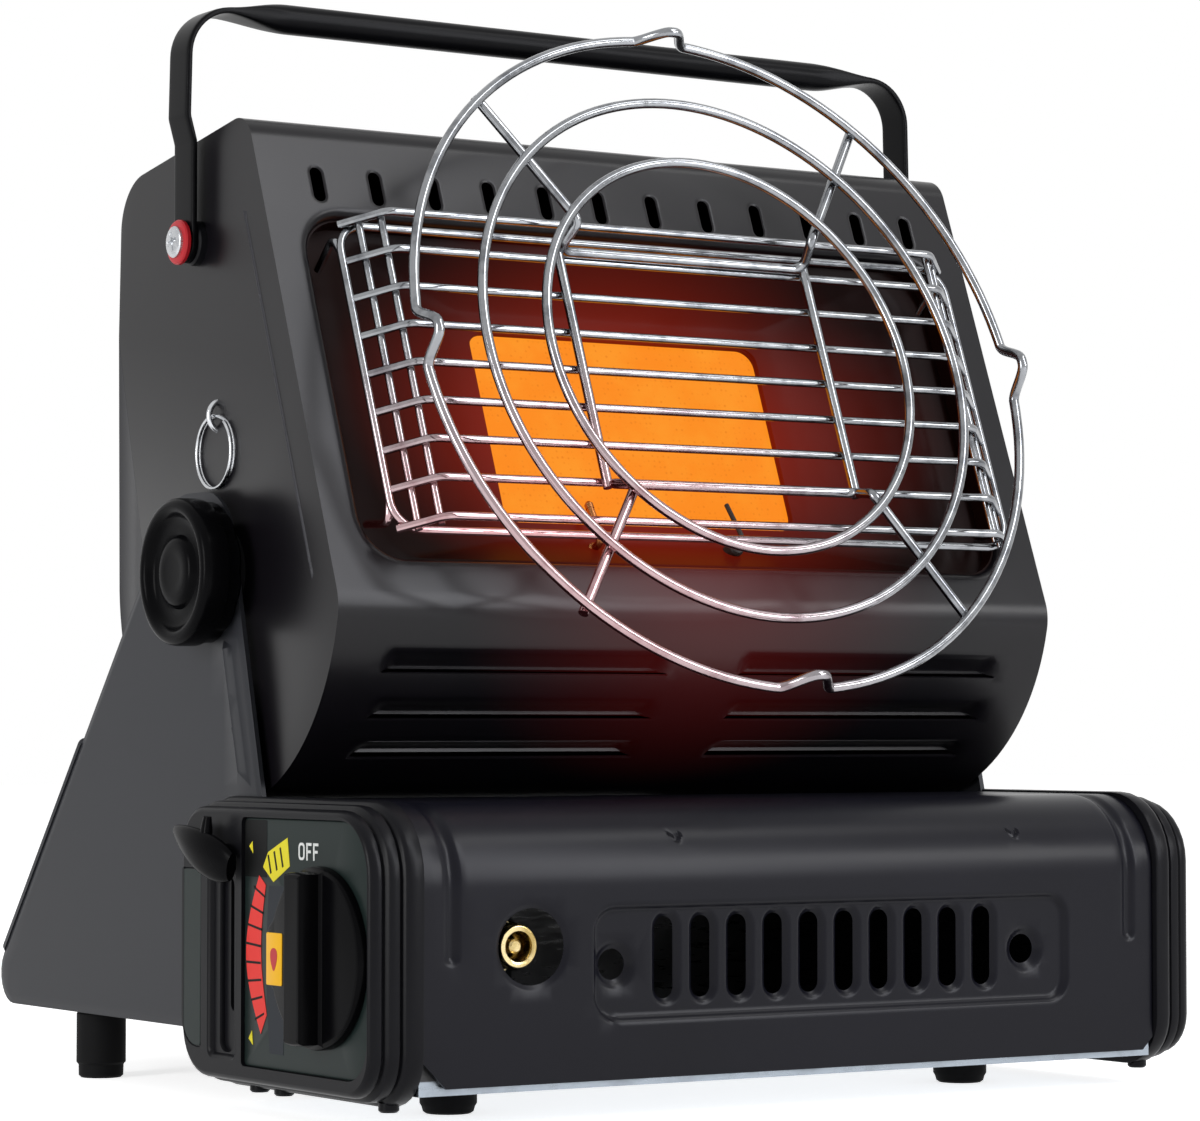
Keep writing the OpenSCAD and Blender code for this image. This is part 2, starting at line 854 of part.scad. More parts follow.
module ignition_electrode() color("#efe9dc") place() {
    face() {
        translate([26, mid_h - plaque_h - 9, plaque_d - 10]) cylinder(r = 2.6, h = 16);
        wire([[26, mid_h - plaque_h - 9, plaque_d + 6], [26, mid_h - plaque_h - 9, plaque_d + 10],
            [26, mid_h - plaque_h + 6, plaque_d + 5]], 0.8);
    }
}

module thermocouple() color("#b98a4a") place() {
    face() {
        translate([-26, mid_h - plaque_h - 9, plaque_d - 12]) cylinder(r = 2.2, h = 14);
        wire([[-26, mid_h - plaque_h - 9, plaque_d + 2], [-26, mid_h - plaque_h - 9, plaque_d + 7],
            [-26, mid_h - plaque_h + 4, plaque_d + 4]], 1.4);
    }
}

// ---------- guard and grate ----------

guard_pitch = 12.5;
guard_rows = 9;
guard_x = 103;
guard_rim_x = 115;
guard_rim_d = face_dist + 11;
guard_half_h = guard_pitch * (guard_rows - 1) / 2;
guard_top_h = mid_h + guard_half_h;

module wire_guard() color(bright) place() {
    low_h = guard_top_h - guard_pitch * (guard_rows - 1);
    face() {
        for (i = [0:guard_rows - 1])
            wire([for (p = [[-guard_rim_x, guard_rim_d], [-guard_x, guard_d], [guard_x, guard_d],
                [guard_rim_x, guard_rim_d]]) [p.x, guard_top_h - i * guard_pitch, p.y]], guard_wire);
        for (x = [-guard_x, guard_x])
            rod([x, low_h, guard_d - 2 * guard_wire], [x, guard_top_h, guard_d - 2 * guard_wire], guard_wire);
        for (x = [-guard_rim_x, guard_rim_x])
            wire([[x, low_h + 8, face_dist - 4], [x, low_h, guard_rim_d - 2],
                [x, guard_top_h, guard_rim_d - 2], [x, guard_top_h - 8, face_dist - 4]], guard_wire);
    }
}

// One bent wire of the stand: spoke, drop, crossbar, rise, spoke; side is 1 or -1
module stand_wire(side) {
    points = [[-70.5, 84.4, ring_d - 2 * ring_wire], [-44, 44, ring_d - 0.8], [-46.5, 39, stand_d],
        [46.5, 39, stand_d], [44, 44, ring_d - 0.8], [70.5, 84.4, ring_d - 2 * ring_wire]];
    wire([for (p = points) [p.x, mid_h + side * p.y, p.z]], ring_wire);
}

module pot_stand() color(bright) place() {
    face() {
        stand_wire(1);
        stand_wire(-1);
        for (x = [-46.5, 46.5])
            rod([x, mid_h - 39, stand_d], [x, mid_h + 39, stand_d], ring_wire);
    }
}

// Outer ring with a raised kink at each quarter
module outer_ring() color(bright) place() {
    gap = 4.5;
    face()
        translate([0, mid_h, ring_d])
            for (q = [0:3])
                rotate(q * 90) {
                    rotate(gap) rotate_extrude(angle = 90 - 2 * gap, $fn = 96)
                        translate([ring_r, 0]) circle(r = ring_wire, $fn = 24);
                    wire([ring_r * [cos(gap + 0.3), -sin(gap + 0.3), 0], [ring_r - 1, 0, bump],
                        ring_r * [cos(gap + 0.3), sin(gap + 0.3), 0]], ring_wire);
                    for (s = [-1, 1])
                        translate(ring_r * [cos(gap), s * sin(gap), 0]) sphere(r = ring_wire + eps, $fn = 24);
                }
}

module plain_ring(r, d) {
    face()
        translate([0, mid_h, d]) rotate_extrude($fn = 96) translate([r, 0]) circle(r = ring_wire, $fn = 24);
}

module middle_ring() color(bright) place() {
    plain_ring(87.5, ring_d + 1.1);
}

module inner_ring() color(bright) place() {
    plain_ring(66, ring_d + 2.2);
}

// ---------- head hardware ----------

module pivot_bolts() color("#55575a") place() {
    at_pivot()
        mirrored() {
            x_cyl(plate_x - 4, plate_x - sheet, 9);
            x_cyl(plate_x - 4, half_len - 2, bolt_r);
        }
}

module pivot_washers() color("#e3e3de") place() {
    at_pivot()
        mirrored()
            difference() {
                x_cyl(plate_x, bracket_in - clear, 14);
                x_cyl(plate_x - 1, bracket_in, bolt_r + 0.02);
            }
}

// Strap planes of the carry handle
strap_in = shell_x + 2.7;
strap_t = 2;
strap_w = 12.6;
strap_out = half_len - 11.6;
grip_x = 114;

module handle_bushings() color("#c3202c") place() {
    translate([0, handle_y, handle_z])
        mirrored()
            difference() {
                union() {
                    x_cyl(plate_x, strap_in + strap_t + 0.3, 4);
                    x_cyl(plate_x, strap_in - clear, 7);
                    x_cyl(strap_in + strap_t + clear, strap_in + strap_t + 2.3, 7);
                }
                x_cyl(plate_x - 1, strap_in + 9, 2.55);
            }
}

module handle_screws() color(bright) place() {
    translate([0, handle_y, handle_z])
        mirrored() {
            x_cyl(plate_x - 4, strap_in + strap_t + 3, 2.48);
            x_cyl(strap_in + strap_t + 2.3, strap_in + strap_t + 4, 4.6);
            translate([plate_x - 4, 0, 0]) rotate([0, 90, 0]) cylinder(r = 5, h = 3, $fn = 6);
        }
}

eyelet_y = 125.5;
eyelet_z = 209;
ring_mid_r = 11.2;
ring_plane_x = plate_x + 2.6;

module ring_eyelet() color(bright) place() {
    translate([-plate_x, eyelet_y, eyelet_z])
        difference() {
            rotate([90, 0, 0]) rotate_extrude($fn = 48) translate([4.8, 0]) circle(r = 0.9, $fn = 24);
            translate([0, -5, -8]) cube([8, 10, 16]);
        }
}

module shell_screws() color("#77797c") place() {
    mirrored()
        for (p = shell_points)
            translate([plate_x, p.x, p.y]) {
                x_cyl(-4, 0.02, 1.6);
                x_cyl(0, 1.4, 3.2);
            }
}

// ---------- handle, ring and clamp knobs ----------

// Strap outline drawn in X and Z: lower arm, joggle, upper arm and rounded corner
module strap_outline() {
    knee_low = 294.5 - handle_z;
    knee_high = 302.5 - handle_z;
    bend = 18;
    top = handle_rise + strap_t / 2;
    outer = strap_out + strap_t;
    translate([strap_in, 0]) square([strap_t, knee_low]);
    polygon([[strap_in, knee_low - 0.5], [strap_in + strap_t, knee_low - 0.5], [outer, knee_high],
        [strap_out, knee_high + 1], [strap_in, knee_low + 0.5]]);
    translate([strap_out, knee_high - eps]) square([strap_t, top - bend - knee_high + 0.1]);
    intersection() {
        translate([outer - bend, top - bend])
            difference() {
                circle(r = bend);
                circle(r = bend - strap_t);
            }
        translate([outer - bend, top - bend]) square(bend + 2);
    }
    translate([grip_x - 2, top - strap_t]) square([outer - bend - grip_x + 2.1, strap_t]);
}

module carry_handle() color("#202124") place() {
    translate([0, handle_y, handle_z])
        difference() {
            union() {
                mirrored() {
                    translate([0, strap_w / 2, 0]) rotate([90, 0, 0]) linear_extrude(strap_w) strap_outline();
                    x_cyl(strap_in, strap_in + strap_t, strap_w / 2);
                }
                translate([0, 0, handle_rise]) x_cyl(-grip_x, grip_x, 3);
            }
            mirrored()
                x_cyl(strap_in - 1, strap_in + 4, 4 + fit);
        }
}

// Tube of the grip, with ends that taper towards the straps
module handle_grip() color("#101113") place() {
    end = grip_x - 2;
    taper = 14;
    translate([0, handle_y, handle_z + handle_rise]) rotate([0, 90, 0])
        rotate_extrude()
            polygon([[3, -end], [3.6, -end], [grip_r, taper - end], [grip_r, end - taper],
                [3.6, end], [3, end]]);
}

module pull_ring() color(bright) place() {
    translate([-ring_plane_x, eyelet_y, eyelet_z - ring_mid_r])
        for (x = [-0.45, 0.45])
            translate([x, 0, 0]) rotate([0, 90, 0])
                rotate_extrude($fn = 72) translate([ring_mid_r, 0]) circle(r = 0.6, $fn = 20);
}

// Clamp knob at the +X side: dished face, raised rim, centre boss and finger flutes
module tilt_knob() {
    depth = knob_out - knob_in;
    at_pivot()
        translate([knob_in, 0, 0]) rotate([0, 90, 0])
            difference() {
                rotate_extrude($fn = 96)
                    polygon([[bolt_r + fit, 0], [tilt_knob_r - 2, 0], [tilt_knob_r - 0.6, 1.2],
                        [tilt_knob_r - 0.6, 4], [tilt_knob_r, 5], [tilt_knob_r, depth - 2],
                        [tilt_knob_r - 2, depth], [tilt_knob_r - 5, depth], [tilt_knob_r - 7, depth - 2.6],
                        [9.5, depth - 4], [8.5, depth - 3], [7.5, depth - 1], [0, depth - 1],
                        [0, depth - 3], [bolt_r + fit, depth - 3]]);
                for (i = [0:11])
                    rotate(i * 30) translate([tilt_knob_r + 1.6, 0, -1]) cylinder(r = 2.2, h = 5.5);
            }
}

module tilt_knob_right() color(plastic) place() {
    tilt_knob();
}

module tilt_knob_left() color(plastic) place() {
    mirror([1, 0, 0]) tilt_knob();
}

// ---------- nodes ----------

base_tray();
left_end_cap();
right_end_cap();
control_panel();
left_bracket();
right_bracket();
rear_cross_panel();
bottom_plate();
front_feet();
rear_legs();
bracket_rivets();
cover_hinge_pins();
regulator();
port_seal();
gas_inlet();
inlet_valve_pin();
piezo_igniter();
cartridge_saddles();
gas_riser();
cartridge_cover();
cover_hinge_leaves();
gas_knob();
knob_pointer();
knob_stem();
lock_lever();
collar_yoke();
front_shell();
rear_cover();
left_side_plate();
right_side_plate();
heat_shield();
reflector();
burner_housing();
ceramic_plate();
burner_frame();
mixing_tube();
injector_jet();
feed_pipe();
swivel_union();
ignition_electrode();
thermocouple();
wire_guard();
pot_stand();
outer_ring();
middle_ring();
inner_ring();
pivot_bolts();
pivot_washers();
handle_bushings();
handle_screws();
ring_eyelet();
shell_screws();
carry_handle();
handle_grip();
pull_ring();
tilt_knob_left();
tilt_knob_right();
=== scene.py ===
"""Visual model of a portable propane heater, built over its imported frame."""
import json
import math

import bpy
import numpy as np
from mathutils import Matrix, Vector
from mathutils.geometry import delaunay_2d_cdt


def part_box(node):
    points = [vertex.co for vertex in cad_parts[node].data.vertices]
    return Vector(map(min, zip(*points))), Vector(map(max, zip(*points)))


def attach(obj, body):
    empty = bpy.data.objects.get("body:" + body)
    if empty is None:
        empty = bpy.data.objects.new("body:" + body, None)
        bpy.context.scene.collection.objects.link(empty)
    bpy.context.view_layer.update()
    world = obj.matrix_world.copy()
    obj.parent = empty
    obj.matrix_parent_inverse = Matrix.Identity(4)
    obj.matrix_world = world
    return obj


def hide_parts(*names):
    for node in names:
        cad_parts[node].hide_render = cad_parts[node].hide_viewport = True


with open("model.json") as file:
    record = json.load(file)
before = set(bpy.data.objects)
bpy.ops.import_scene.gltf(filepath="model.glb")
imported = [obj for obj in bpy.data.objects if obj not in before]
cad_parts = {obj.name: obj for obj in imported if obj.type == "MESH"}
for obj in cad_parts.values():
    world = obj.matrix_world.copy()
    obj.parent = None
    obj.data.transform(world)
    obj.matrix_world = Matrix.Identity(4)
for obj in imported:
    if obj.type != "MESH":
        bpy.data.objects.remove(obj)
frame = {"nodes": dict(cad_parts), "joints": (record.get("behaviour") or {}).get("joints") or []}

bl_info = {
    "name": "Portable Propane Heater",
    "version": (1, 0, 0),
    "blender": (4, 5, 0),
    "location": "View3D > Sidebar > Heater",
    "description": "Builds a tilting propane heater with its guard, pot grate, controls and stage",
    "category": "Object",
}

# Housing axes in millimetres: X from the middle, Y back from the cover's front, Z from the floor
COVER_LOW, COVER_HIGH = (np.array(c) * 1000 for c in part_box("cartridge_cover"))
HOME = np.array([(COVER_LOW[0] + COVER_HIGH[0]) / 2, COVER_LOW[1], 0.0])
JOINT_AT = {j["name"]: np.array(j["pos_m"]) * 1000 - HOME for j in frame["joints"] if "pos_m" in j}
PIVOT = JOINT_AT["head_tilt"]
HANDLE = JOINT_AT["handle_swing"]
KNOB = JOINT_AT["gas_knob_turn"]
RING = JOINT_AT["pull_ring_swing"]
# The head's face: how far it leans, how far it stands out from the tilt axis, and how high on
# it the plaque's middle lies. Then the shell's half width and the thickness of its sheet
LEAN = math.radians(21)
FACE_D = 62.8
MID_H = 34.2
SHELL_X = 133.5
SHEET = 1.0


def face_point(x, h, d):
    """Head face axes to housing axes: x across, h up the leaning face, d out of it."""
    x, h, d = np.broadcast_arrays(x, h, d)
    y = PIVOT[1] + h * math.sin(LEAN) - d * math.cos(LEAN)
    z = PIVOT[2] + h * math.cos(LEAN) + d * math.sin(LEAN)
    return np.stack([x, y, z], -1)


FACE_OUT = np.array([0, -math.cos(LEAN), math.sin(LEAN)])
FACE_UP = np.array([0, math.sin(LEAN), math.cos(LEAN)])


# ---------- mesh tools ----------

def put_mesh(name, points, faces):
    """Mesh from points in housing millimetres and index arrays of triangles or quads."""
    faces = [np.asarray(f, int) for f in faces if len(f)]
    mesh = bpy.data.meshes.new(name)
    mesh.vertices.add(len(points))
    mesh.vertices.foreach_set("co", ((np.asarray(points) + HOME) / 1000).ravel())
    sizes = np.concatenate([np.full(len(f), f.shape[1]) for f in faces])
    corners = np.concatenate([f.ravel() for f in faces])
    mesh.loops.add(len(corners))
    mesh.loops.foreach_set("vertex_index", corners)
    mesh.polygons.add(len(sizes))
    mesh.polygons.foreach_set("loop_start", np.concatenate([[0], np.cumsum(sizes)[:-1]]))
    mesh.update(calc_edges=True)
    mesh.validate()
    return mesh


def joined(*shapes):
    """One shape from several, with the face indices moved along."""
    points, faces, start = [], [], 0
    for p, fs in shapes:
        points.append(np.asarray(p, float))
        faces += [np.asarray(f, int) + start for f in fs if len(f)]
        start += len(p)
    return np.concatenate(points), faces


def turned_out(shape):
    """Shape with every face flipped when its signed volume is negative."""
    points, faces = shape
    total = 0.0
    for f in faces:
        a = points[f[:, 0]]
        for i in range(1, f.shape[1] - 1):
            total += np.einsum("ij,ij->", a, np.cross(points[f[:, i]], points[f[:, i + 1]]))
    return (points, [f[:, ::-1] for f in faces]) if total < 0 else shape


def mirrored(shape):
    """Copy of a shape at the other side of the middle plane, turned right side out."""
    points, faces = shape
    return points * [-1, 1, 1], [f[:, ::-1] for f in faces]


def both(shape):
    """A shape and its mirror image as one."""
    return joined(shape, mirrored(shape))


def unit(v):
    """Vectors made one long."""
    v = np.asarray(v, float)
    return v / np.linalg.norm(v, axis=-1, keepdims=True)


def grid_faces(rows, cols, wrap_rows=False, wrap_cols=False):
    """Quads between neighbours of a rows x cols grid of points."""
    r = np.arange(rows if wrap_rows else rows - 1)
    c = np.arange(cols if wrap_cols else cols - 1)
    r, c = np.meshgrid(r, c, indexing="ij")
    r1, c1 = (r + 1) % rows, (c + 1) % cols
    return np.stack([r * cols + c, r1 * cols + c, r1 * cols + c1, r * cols + c1], -1).reshape(-1, 4)


def pole_fans(rows, sides):
    """Triangles that close a tube of rows x sides points at both ends, towards the two
    points that follow its rings."""
    k, count = np.arange(sides), rows * sides
    ahead, last = (k + 1) % sides, count - sides
    return np.concatenate([np.stack([k, ahead, np.full(sides, count)], -1),
                           np.stack([last + ahead, last + k, np.full(sides, count + 1)], -1)])


def rounded_path(points, radii, steps=6, closed=False):
    """Polyline with each inner corner b replaced by an arc of radius r that touches both sides:
    the arc's middle lies on the bisector at r / sin(half the corner's angle)."""
    points = [np.asarray(p, float) for p in points]
    n = len(points)
    radii = [radii] * n if np.isscalar(radii) else radii
    out = []
    for i, b in enumerate(points):
        if not closed and i in (0, n - 1) or radii[i] <= 0:
            out.append(b[None])
            continue
        u, v = unit(points[i - 1] - b), unit(points[(i + 1) % n] - b)
        half = math.acos(np.clip(u @ v, -1, 1)) / 2
        if half > math.pi / 2 - 1e-3:
            out.append(b[None])
            continue
        mid = b + unit(u + v) * radii[i] / math.sin(half)
        a = np.linspace(-1, 1, steps + 1)[:, None] * (math.pi / 2 - half)
        side = unit(v - u)
        out.append(mid - unit(u + v) * radii[i] * np.cos(a) + side * radii[i] * np.sin(a))
    return np.concatenate(out)


def tube(path, radius, up, sides=12, closed=False, squash=None):
    """Circle carried along a path: point = p + r (cos t * side + sin t * top), where
    side = tangent x up and top = side x tangent. Radius and squash may change along it."""
    path = np.asarray(path, float)
    n = len(path)
    ahead = np.roll(path, -1, 0) - path
    back = path - np.roll(path, 1, 0)
    if not closed:
        ahead[-1], back[0] = back[-1], ahead[0]
    tangent = unit(unit(ahead) + unit(back))
    side = unit(np.cross(tangent, np.broadcast_to(up, path.shape)))
    top = np.cross(side, tangent)
    # Widens the section at a corner, so that the straight runs keep their thickness
    spread = 1 / np.clip(np.einsum("ij,ij->i", tangent, unit(ahead)), 0.5, 1)
    r = np.broadcast_to(radius, n)[:, None, None]
    flat = np.broadcast_to(1.0 if squash is None else squash, n)[:, None, None]
    t = np.linspace(0, 2 * math.pi, sides, endpoint=False)[None, :, None]
    rings = path[:, None] + r * (np.cos(t) * side[:, None] * spread[:, None, None]
                                 + np.sin(t) * top[:, None] * flat)
    points = rings.reshape(-1, 3)
    faces = [grid_faces(n, sides, wrap_rows=closed, wrap_cols=True)]
    if not closed:
        points = np.concatenate([points, path[[0, -1]]])
        faces.append(pole_fans(n, sides))
    return turned_out((points, faces))


def spokes(axis, sides):
    """Directions at even angles round an axis, each at a right angle to it."""
    u = unit(np.cross(axis, [0.3, 0.5, 0.8]))
    v = np.cross(axis, u)
    t = np.linspace(0, 2 * math.pi, sides, endpoint=False)[:, None]
    return np.cos(t) * u + np.sin(t) * v


def lathe(profile, centre, axis, sides=48):
    """Profile of (radius, height) turned round an axis: p = centre + height * axis
    + radius * spoke. An end on the axis closes in a pole. A profile that starts off the
    axis closes on itself."""
    profile = np.asarray(profile, float)
    axis = unit(axis)
    r, h = profile[:, 0], profile[:, 1]
    points = np.asarray(centre) + h[:, None, None] * axis + r[:, None, None] * spokes(axis, sides)
    faces = [grid_faces(len(profile), sides, wrap_rows=r[0] > 1e-6, wrap_cols=True)]
    return turned_out(welded(points.reshape(-1, 3), faces))


def welded(points, faces):
    """Shape with points that agree to four decimals made one, and collapsed faces dropped."""
    _, first, back = np.unique(np.round(points, 4), axis=0, return_index=True,
                               return_inverse=True)
    back = back.ravel()
    out = []
    for f in faces:
        f = back[f]
        if f.shape[1] == 4:
            same = f == np.roll(f, -1, 1)
            out.append(f[~same.any(1)])
            one = f[same.sum(1) == 1]
            if len(one):
                keep = ~(one == np.roll(one, -1, 1))
                out.append(one[keep].reshape(-1, 3))
        else:
            bad = (f[:, 0] == f[:, 1]) | (f[:, 1] == f[:, 2]) | (f[:, 0] == f[:, 2])
            out.append(f[~bad])
    return points[first], [f for f in out if len(f)]


def inside(points, loops):
    """Even-odd test of flat points against closed loops."""
    odd = np.zeros(len(points), bool)
    x, y = points[:, 0][:, None], points[:, 1][:, None]
    for loop in loops:
        a, b = loop, np.roll(loop, -1, 0)
        rise = (a[:, 1] > y) != (b[:, 1] > y)
        gap = np.where(b[:, 1] == a[:, 1], 1e-9, b[:, 1] - a[:, 1])
        cut = a[:, 0] + (y - a[:, 1]) * (b[:, 0] - a[:, 0]) / gap
        odd ^= ((rise & (x < cut)).sum(1) % 2).astype(bool)
    return odd


def blank(edges, rings=(), extra=None, gap=0.6):
    """Flat sheet cut along closed edges (holes by even-odd), with rings of points that
    carry its embossing and extra grid points. Returns flat points and triangles."""
    loops = list(edges) + list(rings)
    flat = np.concatenate(loops)
    lines, start = [], 0
    for loop in loops:
        k = np.arange(len(loop))
        lines += np.stack([start + k, start + (k + 1) % len(loop)], -1).tolist()
        start += len(loop)
    if extra is not None and len(extra):
        extra = extra[inside(extra, edges)]
        near = np.full(len(extra), 1e9)
        for s in range(0, len(flat), 400):
            d = np.linalg.norm(extra[:, None] - flat[None, s:s + 400], axis=2)
            near = np.minimum(near, d.min(1))
        flat = np.concatenate([flat, extra[near > gap]])
    out = delaunay_2d_cdt([Vector(p) for p in flat], lines, [], 0, 1e-5)
    points = np.array([flat[o[0]] if len(o) else v[:] for v, o in zip(out[0], out[3])])
    tris = np.array([f for f in out[2] if len(f) == 3])
    tris = tris[inside(points[tris].mean(1), edges)]
    a, b, c = (points[tris[:, i]] for i in range(3))
    area = (b - a)[:, 0] * (c - a)[:, 1] - (b - a)[:, 1] * (c - a)[:, 0]
    tris = np.where((area < 0)[:, None], tris[:, ::-1], tris)[np.abs(area) > 1e-7]
    used, back = np.unique(tris, return_inverse=True)
    return points[used], back.reshape(tris.shape)


def point_normals(points, tris):
    """Area-weighted normals at the points of a triangle mesh."""
    a, b, c = (points[tris[:, i]] for i in range(3))
    n = np.cross(b - a, c - a)
    out = np.zeros_like(points)
    for i in range(3):
        np.add.at(out, tris[:, i], n)
    return unit(out + 1e-12)


def thick(points, tris, t):
    """Closed sheet: the given side, a copy moved by -t along its normals, and a rim along
    the edges that only one triangle has."""
    normals = point_normals(points, tris)
    n = len(points)
    pairs = np.concatenate([tris[:, [0, 1]], tris[:, [1, 2]], tris[:, [2, 0]]])
    a, b = pairs[~np.isin(pairs @ [1, n], pairs @ [n, 1])].T
    rim = np.stack([b, a, a + n, b + n], -1)
    return np.concatenate([points, points - normals * t]), [tris, tris[:, ::-1] + n, rim]


def round_rect(low, high, r, steps=6):
    """Closed outline of a rectangle with its own radius at each corner, anticlockwise."""
    (x0, y0), (x1, y1) = low, high
    r = [r] * 4 if np.isscalar(r) else r
    corners = [(x0, y0), (x1, y0), (x1, y1), (x0, y1)]
    middles = [(x0 + r[0], y0 + r[0]), (x1 - r[1], y0 + r[1]), (x1 - r[2], y1 - r[2]),
               (x0 + r[3], y1 - r[3])]
    out = []
    for i, (m, c) in enumerate(zip(middles, corners)):
        a = math.pi * (1 + i / 2) + np.linspace(0, math.pi / 2, steps + 1)
        out.append(np.array(m) + r[i] * np.stack([np.cos(a), np.sin(a)], -1)
                   if r[i] > 0 else np.array([c], float))
    loop = np.concatenate(out)
    return loop[np.linalg.norm(loop - np.roll(loop, 1, 0), axis=1) > 1e-6]


def arc(r, low, high, count):
    """Points on a circle about the origin, between two angles in degrees."""
    a = np.radians(np.linspace(low, high, count))
    return r * np.stack([np.cos(a), np.sin(a)], -1)


def disc(x, y, r, sides=24):
    """Closed outline of a circle."""
    a = np.linspace(0, 2 * math.pi, sides, endpoint=False)
    return np.array([x, y]) + r * np.stack([np.cos(a), np.sin(a)], -1)


def divided(loop, step):
    """The same loop with its long sides cut into pieces no longer than a step."""
    ahead = np.roll(loop, -1, 0)
    parts = np.maximum(np.ceil(np.linalg.norm(ahead - loop, axis=1) / step).astype(int), 1)
    which = np.repeat(np.arange(len(loop)), parts)
    along = (np.arange(parts.sum()) - np.repeat(np.cumsum(parts) - parts, parts)) / parts[which]
    return loop[which] + (ahead - loop)[which] * along[:, None]


def inset(loop, amount):
    """Closed anticlockwise outline moved inwards along the bisectors of its corners."""
    a = unit(loop - np.roll(loop, 1, 0))
    b = unit(np.roll(loop, -1, 0) - loop)
    na, nb = np.stack([-a[:, 1], a[:, 0]], -1), np.stack([-b[:, 1], b[:, 0]], -1)
    mid = unit(na + nb)
    return loop + mid * amount / np.clip(np.einsum("ij,ij->i", mid, na), 0.3, 1)[:, None]


def around(loops, gaps):
    """Copies of closed anticlockwise loops, each moved outwards by every gap in turn."""
    return [inset(loop, -gap) for loop in loops for gap in gaps]


def lattice(columns, rows):
    """Flat points at all crossings of the given columns and rows."""
    return np.stack([v.ravel() for v in np.meshgrid(columns, rows)], -1)


def packed(low, high, step):
    """Even lattice of flat points between two corners."""
    count = [max(2, int(round((b - a) / step)) + 1) for a, b in zip(low, high)]
    return lattice(*(np.linspace(*ends) for ends in zip(low, high, count)))


def ramp(v, low, high):
    """0 below low, 1 above high, smooth between."""
    t = np.clip((v - low) / (high - low), 0, 1)
    return t * t * (3 - 2 * t)


def fall(v, low, high):
    """1 below low, 0 above high, smooth between."""
    return 1 - ramp(v, low, high)


def rect_gap(p, low, high, r):
    """Signed distance from a rounded rectangle, negative inside."""
    low, high = np.array(low, float), np.array(high, float)
    q = np.abs(p - (low + high) / 2) - (high - low) / 2 + r
    return np.linalg.norm(np.maximum(q, 0), axis=1) + np.minimum(q.max(1), 0) - r


def raised(flat, height):
    """Flat points with a height as their third value."""
    return np.insert(flat, 2, height, axis=1)


def slab(outline, holes, levels, place):
    """Plate with rounded edges: outline and holes are flat loops, levels is a list of
    (inset, height) from the front to the back, and place(a, b, height) is its spot."""
    shapes = []
    for loop, side in [(outline, 1)] + [(hole, -1) for hole in holes]:
        rings = np.concatenate([raised(inset(loop, side * i), h) for i, h in levels])
        walls = grid_faces(len(levels), len(loop), wrap_cols=True)
        shapes.append((rings, [walls[:, ::side]]))
    for (i, h), turn in ((levels[0], 1), (levels[-1], -1)):
        flat, tris = blank([inset(outline, i)] + [inset(hole, -i) for hole in holes])
        shapes.append((raised(flat, h), [tris[:, ::turn]]))
    points, faces = welded(*joined(*shapes))
    return turned_out((place(*points.T), faces))


def edge_levels(front, back, r):
    """Levels of a plate between two heights whose edges are rounded by r."""
    return [(r, front), (r * 0.3, front - r * 0.3), (0, front - r),
            (0, back + r), (r * 0.3, back + r * 0.3), (r, back)]


# ---------- shader groups ----------

def new_group(name, inputs, outputs):
    """Empty shader group with float inputs (name, default) and outputs (name, socket type)."""
    group = bpy.data.node_groups.new(name, "ShaderNodeTree")
    for label, value in inputs:
        made = group.interface.new_socket(label, in_out="INPUT", socket_type="NodeSocketFloat")
        made.default_value = value
    for label, kind in outputs:
        group.interface.new_socket(label, in_out="OUTPUT", socket_type=kind)
    return group, Nodes(group)


class Nodes:
    """Short hand for adding nodes to a tree and linking them."""

    def __init__(self, tree):
        self.tree = tree

    def add(self, kind, settings=None, **links):
        made = self.tree.nodes.new(kind)
        for key, value in (settings or {}).items():
            setattr(made, key, value)
        for key, value in links.items():
            socket = made.inputs[int(key[1:]) if key[1:].isdigit() else key.replace("_", " ")]
            if isinstance(value, bpy.types.NodeSocket):
                self.tree.links.new(value, socket)
            else:
                socket.default_value = value
        return made

    def math(self, what, a, b=0.0, clamp=False):
        return self.add("ShaderNodeMath", {"operation": what, "use_clamp": clamp},
                        i0=a, i1=b).outputs[0]

    def spread(self, value, low, high, to_low=0.0, to_high=1.0):
        made = self.add("ShaderNodeMapRange", {"interpolation_type": "SMOOTHSTEP"}, Value=value,
                        From_Min=low, From_Max=high, To_Min=to_low, To_Max=to_high)
        return made.outputs[0]

    def noise(self, at, scale, detail=3.0, rough=0.55):
        return self.add("ShaderNodeTexNoise", None, Vector=at, Scale=scale, Detail=detail,
                        Roughness=rough).outputs["Fac"]

    def mix(self, fac, a, b):
        made = self.add("ShaderNodeMix", {"data_type": "RGBA"})
        for index, value in ((0, fac), (6, a), (7, b)):
            if isinstance(value, bpy.types.NodeSocket):
                self.tree.links.new(value, made.inputs[index])
            else:
                made.inputs[index].default_value = value
        return made.outputs[2]

    def object_at(self):
        return self.add("ShaderNodeTexCoord").outputs["Object"]

    def ends(self):
        return self.tree.nodes.new("NodeGroupInput"), self.tree.nodes.new("NodeGroupOutput")

    def link(self, a, b):
        self.tree.links.new(a, b)

    def shared(self, name, **links):
        """Outputs of a shared effect."""
        return self.add("ShaderNodeGroup", {"node_tree": group(name)}, **links).outputs


